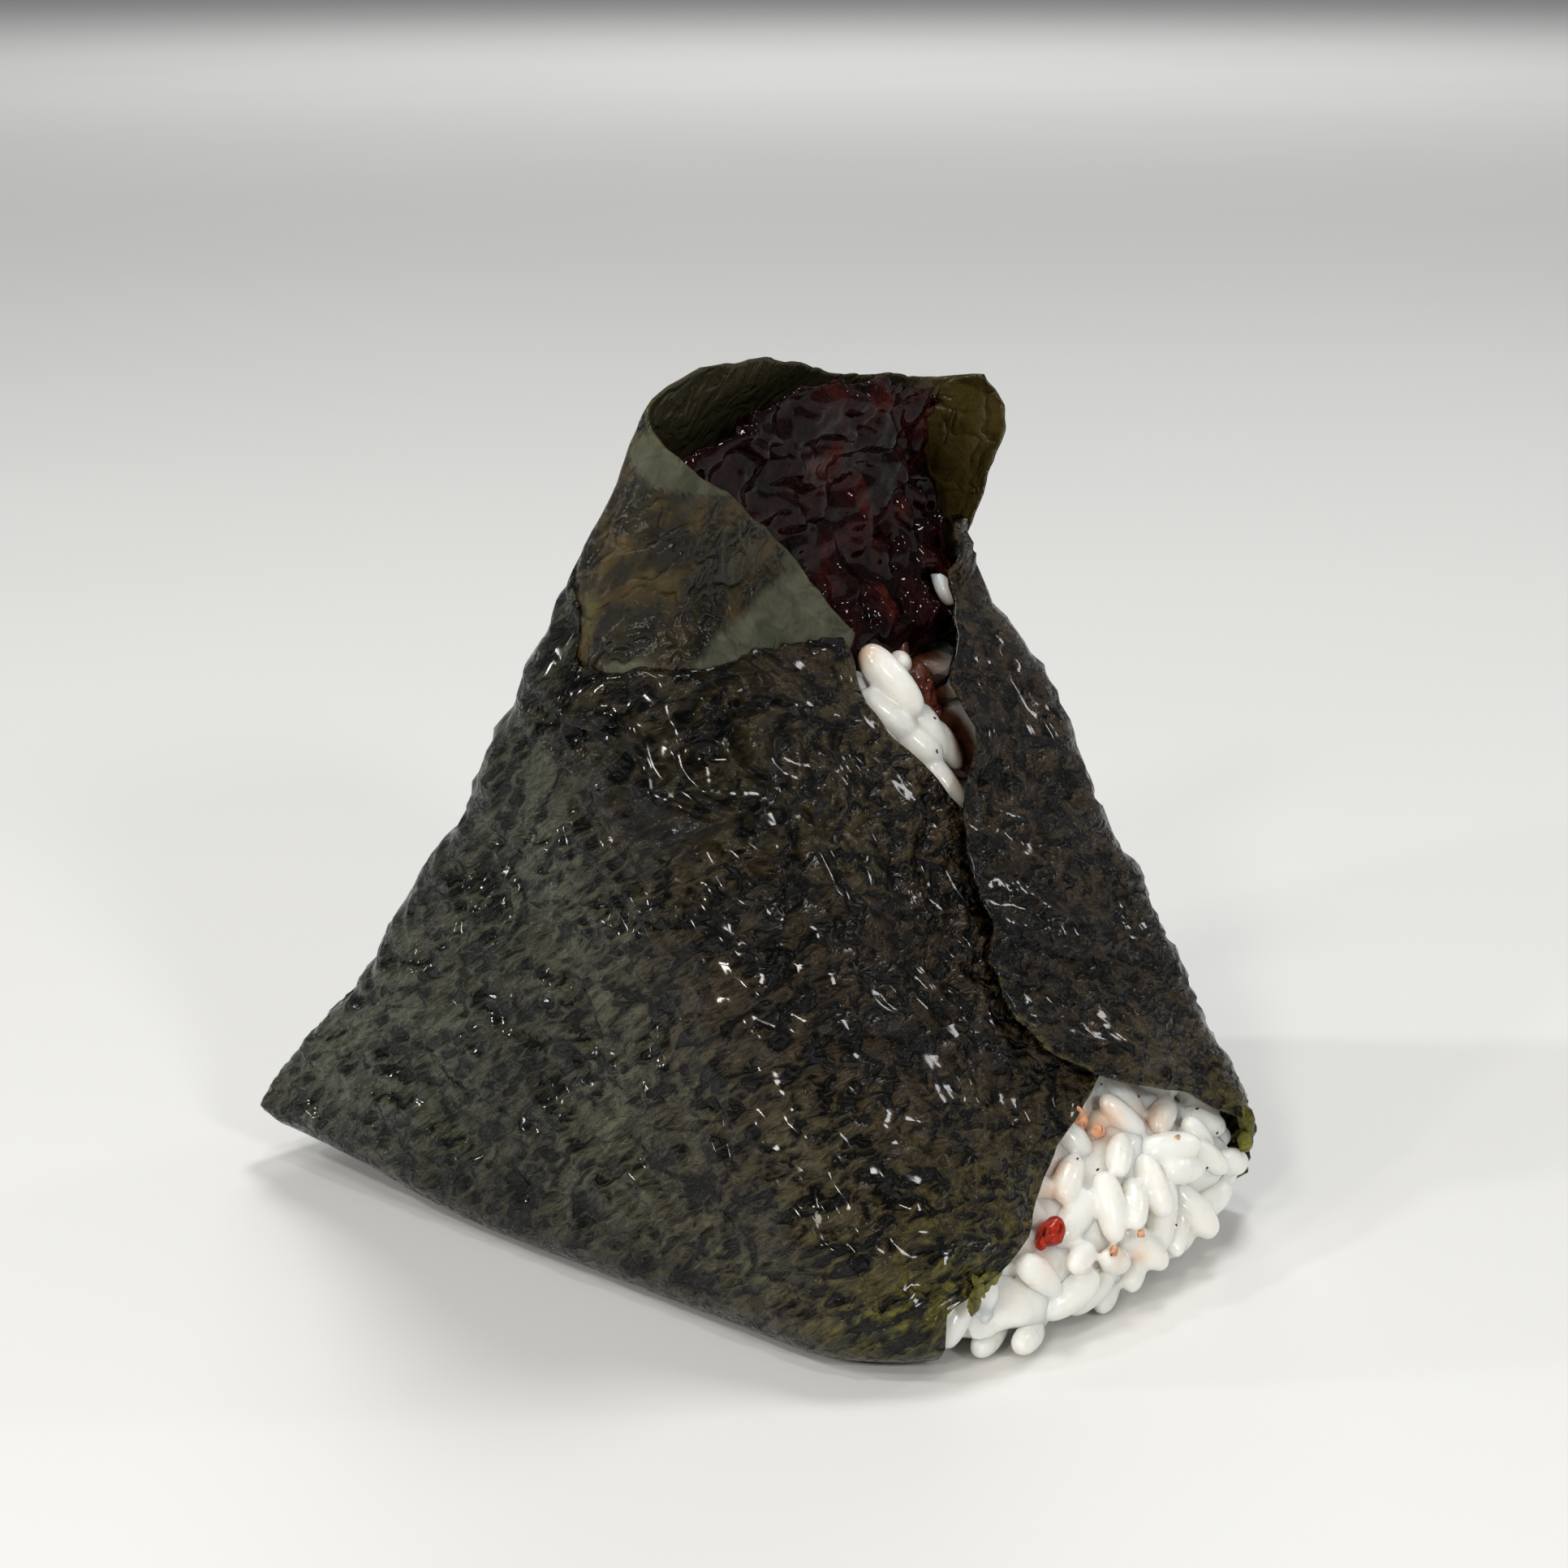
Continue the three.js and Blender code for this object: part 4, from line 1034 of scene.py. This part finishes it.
def rice_paint():
    """Moist translucent grains, stained near the filling."""
    paint = Paint("rice")
    cloud = paint.noise(0.35, 3)
    white = paint.ramp(cloud, (0.3, (0.83, 0.80, 0.73)), (0.7, (0.87, 0.855, 0.805)))
    stain = paint.attribute("stain")
    colour = paint.mix(paint.range(stain, 0.05, 0.9), white, (0.74, 0.42, 0.26))
    # Dark brown behind the gap: the filling's juice there, and painted shade of the hollow between the
    # grains and the back flap.
    colour = paint.mix(paint.attribute("soak_and_shade"), colour, (0.13, 0.045, 0.022))
    paint.link(colour, paint.shader.inputs["Base Color"])
    fine = paint.times(paint.noise(1.6, 2), 0.25)
    paint.bump(paint.plus(paint.noise(0.5, 3), fine), 0.16)
    paint.link(paint.range(cloud, 0.35, 0.7, 0.26, 0.42), paint.shader.inputs["Roughness"])
    paint.set(Subsurface_Weight=0.75, Subsurface_Radius=(1.0, 0.78, 0.6), Subsurface_Scale=3.2 * MM,
              Coat_Weight=0.35, Coat_Roughness=0.12)
    return paint.material


def speck_paint():
    """Dark brown, for the specks of nori."""
    paint = Paint("specks")
    colour = paint.ramp(paint.noise(0.2, 1), (0.45, (0.020, 0.014, 0.006)), (0.6, (0.09, 0.05, 0.015)))
    paint.link(colour, paint.shader.inputs["Base Color"])
    paint.set(Roughness=0.4)
    return paint.material


def floor_paint():
    paint = Paint("floor")
    colour = paint.ramp(paint.noise(0.004, 2), (0.3, (0.78, 0.78, 0.765)), (0.7, (0.80, 0.80, 0.785)))
    paint.link(colour, paint.shader.inputs["Base Color"])
    paint.set(Roughness=0.45)
    return paint.material


def dress(piece, material, slot, *nodes):
    """Gives a piece its material and its body, and hides the solids that it stands for; slot is not
    used.
    """
    piece.data.materials.clear()
    piece.data.materials.append(material)
    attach(piece, "root")
    if nodes:
        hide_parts(*nodes)


# ---- Stage ----
CAMERA_PLACE = (206.165, -226.635, 125.9)  # mm
CAMERA_TURN = (74.82, 0.0, 42.0)  # degrees
CAMERA_LENS = 4000 / 1932 * 36  # mm, from the photograph's perspective


def add_camera():
    data = bpy.data.cameras.new("camera")
    data.sensor_width = 36
    data.lens = CAMERA_LENS
    data.clip_start, data.clip_end = 0.01, 20
    camera = bpy.data.objects.new("camera", data)
    camera.location = np.array(CAMERA_PLACE) * MM
    camera.rotation_euler = [math.radians(a) for a in CAMERA_TURN]
    bpy.context.scene.collection.objects.link(camera)
    bpy.context.scene.camera = camera


def add_light(name, place, target, size, watts, colour=(1, 1, 1), mirrored=True):
    """A round lamp, in metres. Glossy surfaces mirror it only where mirrored says so."""
    data = bpy.data.lights.new(name, "AREA")
    data.shape = "DISK"
    data.size = size
    data.energy = watts
    data.color = colour
    light = bpy.data.objects.new(name, data)
    light.location = place
    light.visible_glossy = mirrored
    light.rotation_euler = (Vector(target) - Vector(place)).to_track_quat("-Z", "Y").to_euler()
    bpy.context.scene.collection.objects.link(light)


def add_stage():
    bpy.ops.mesh.primitive_plane_add(size=16, location=(0, 0, -0.0002))
    floor = bpy.context.object
    floor.name = "floor"
    floor.data.materials.append(floor_paint())
    world = bpy.data.worlds.new("studio")
    world.use_nodes = True
    world.node_tree.nodes["Background"].inputs["Color"].default_value = (0.80, 0.81, 0.82, 1)
    world.node_tree.nodes["Background"].inputs["Strength"].default_value = 0.22
    bpy.context.scene.world = world
    bpy.context.scene.view_settings.view_transform = "Standard"
    middle = (0, 0, 0.04)
    warm = (1.0, 0.96, 0.88)
    add_light("overhead", (-0.1, 0.35, 1.0), middle, 0.28, 3.7)
    add_light("lamp_left", (-0.68, -0.66, 0.33), middle, 0.055, 1.2)
    add_light("lamp_low", (-0.7, -0.74, 0.14), middle, 0.05, 0.6)
    add_light("lamp_left_high", (-0.36, -0.62, 0.68), middle, 0.055, 1.2)
    add_light("lamp_front", (0.0, -0.92, 0.42), middle, 0.055, 1.2, warm)
    add_light("lamp_front_right", (0.37, -0.84, 0.52), middle, 0.1, 2.0, warm)
    add_light("lamp_high", (0.25, -0.3, 1.1), middle, 0.1, 1.3, warm)
    add_light("lamp_front_high", (0.14, -0.68, 0.72), middle, 0.12, 1.2, warm)
    add_light("lamp_right", (0.85, -0.3, 0.45), middle, 0.14, 2.7)
    add_light("lamp_back_right", (0.43, 0.74, 0.57), middle, 0.09, 0.7)
    add_light("far_floor", (-1.5, 1.8, 1.5), (-1.3, 1.6, 0), 1.4, 24, mirrored=False)


main_sheet = main_nori()
panel = base_panel()
collar = collar_nori()
filling = filling_mass()
core = rice_core()
grains = rice_grains()
for rice_piece in (core, grains):
    rice_points = points_of(rice_piece)[0]
    put_attribute(rice_piece, "stain", stained(rice_points))
    put_attribute(rice_piece, "soak_and_shade", soak_and_shade(rice_points))

nori_material = nori_main_paint()
rice_material = rice_paint()
dress(main_sheet, nori_material, "nori_main", "nori_main")
dress(panel, nori_material, "nori_main")
dress(collar, nori_collar_paint(), "nori_collar", "nori_collar")
dress(filling, glossy_paint("filling", FILLING), "filling", "filling")
dress(core, rice_material, "rice", "rice")
dress(grains, rice_material, "rice")
dress(red_bits(), glossy_paint("red_bits", RED), "filling")
dress(brown_bits(), glossy_paint("brown_bits", BROWN), "filling")
dress(pale_shreds(), glossy_paint("pale_shreds", PEACH), "filling")
dress(nori_flakes(), glossy_paint("nori_flakes", OLIVE), "nori_main")
dress(nori_specks(), speck_paint(), "nori_main")

add_camera()
add_stage()
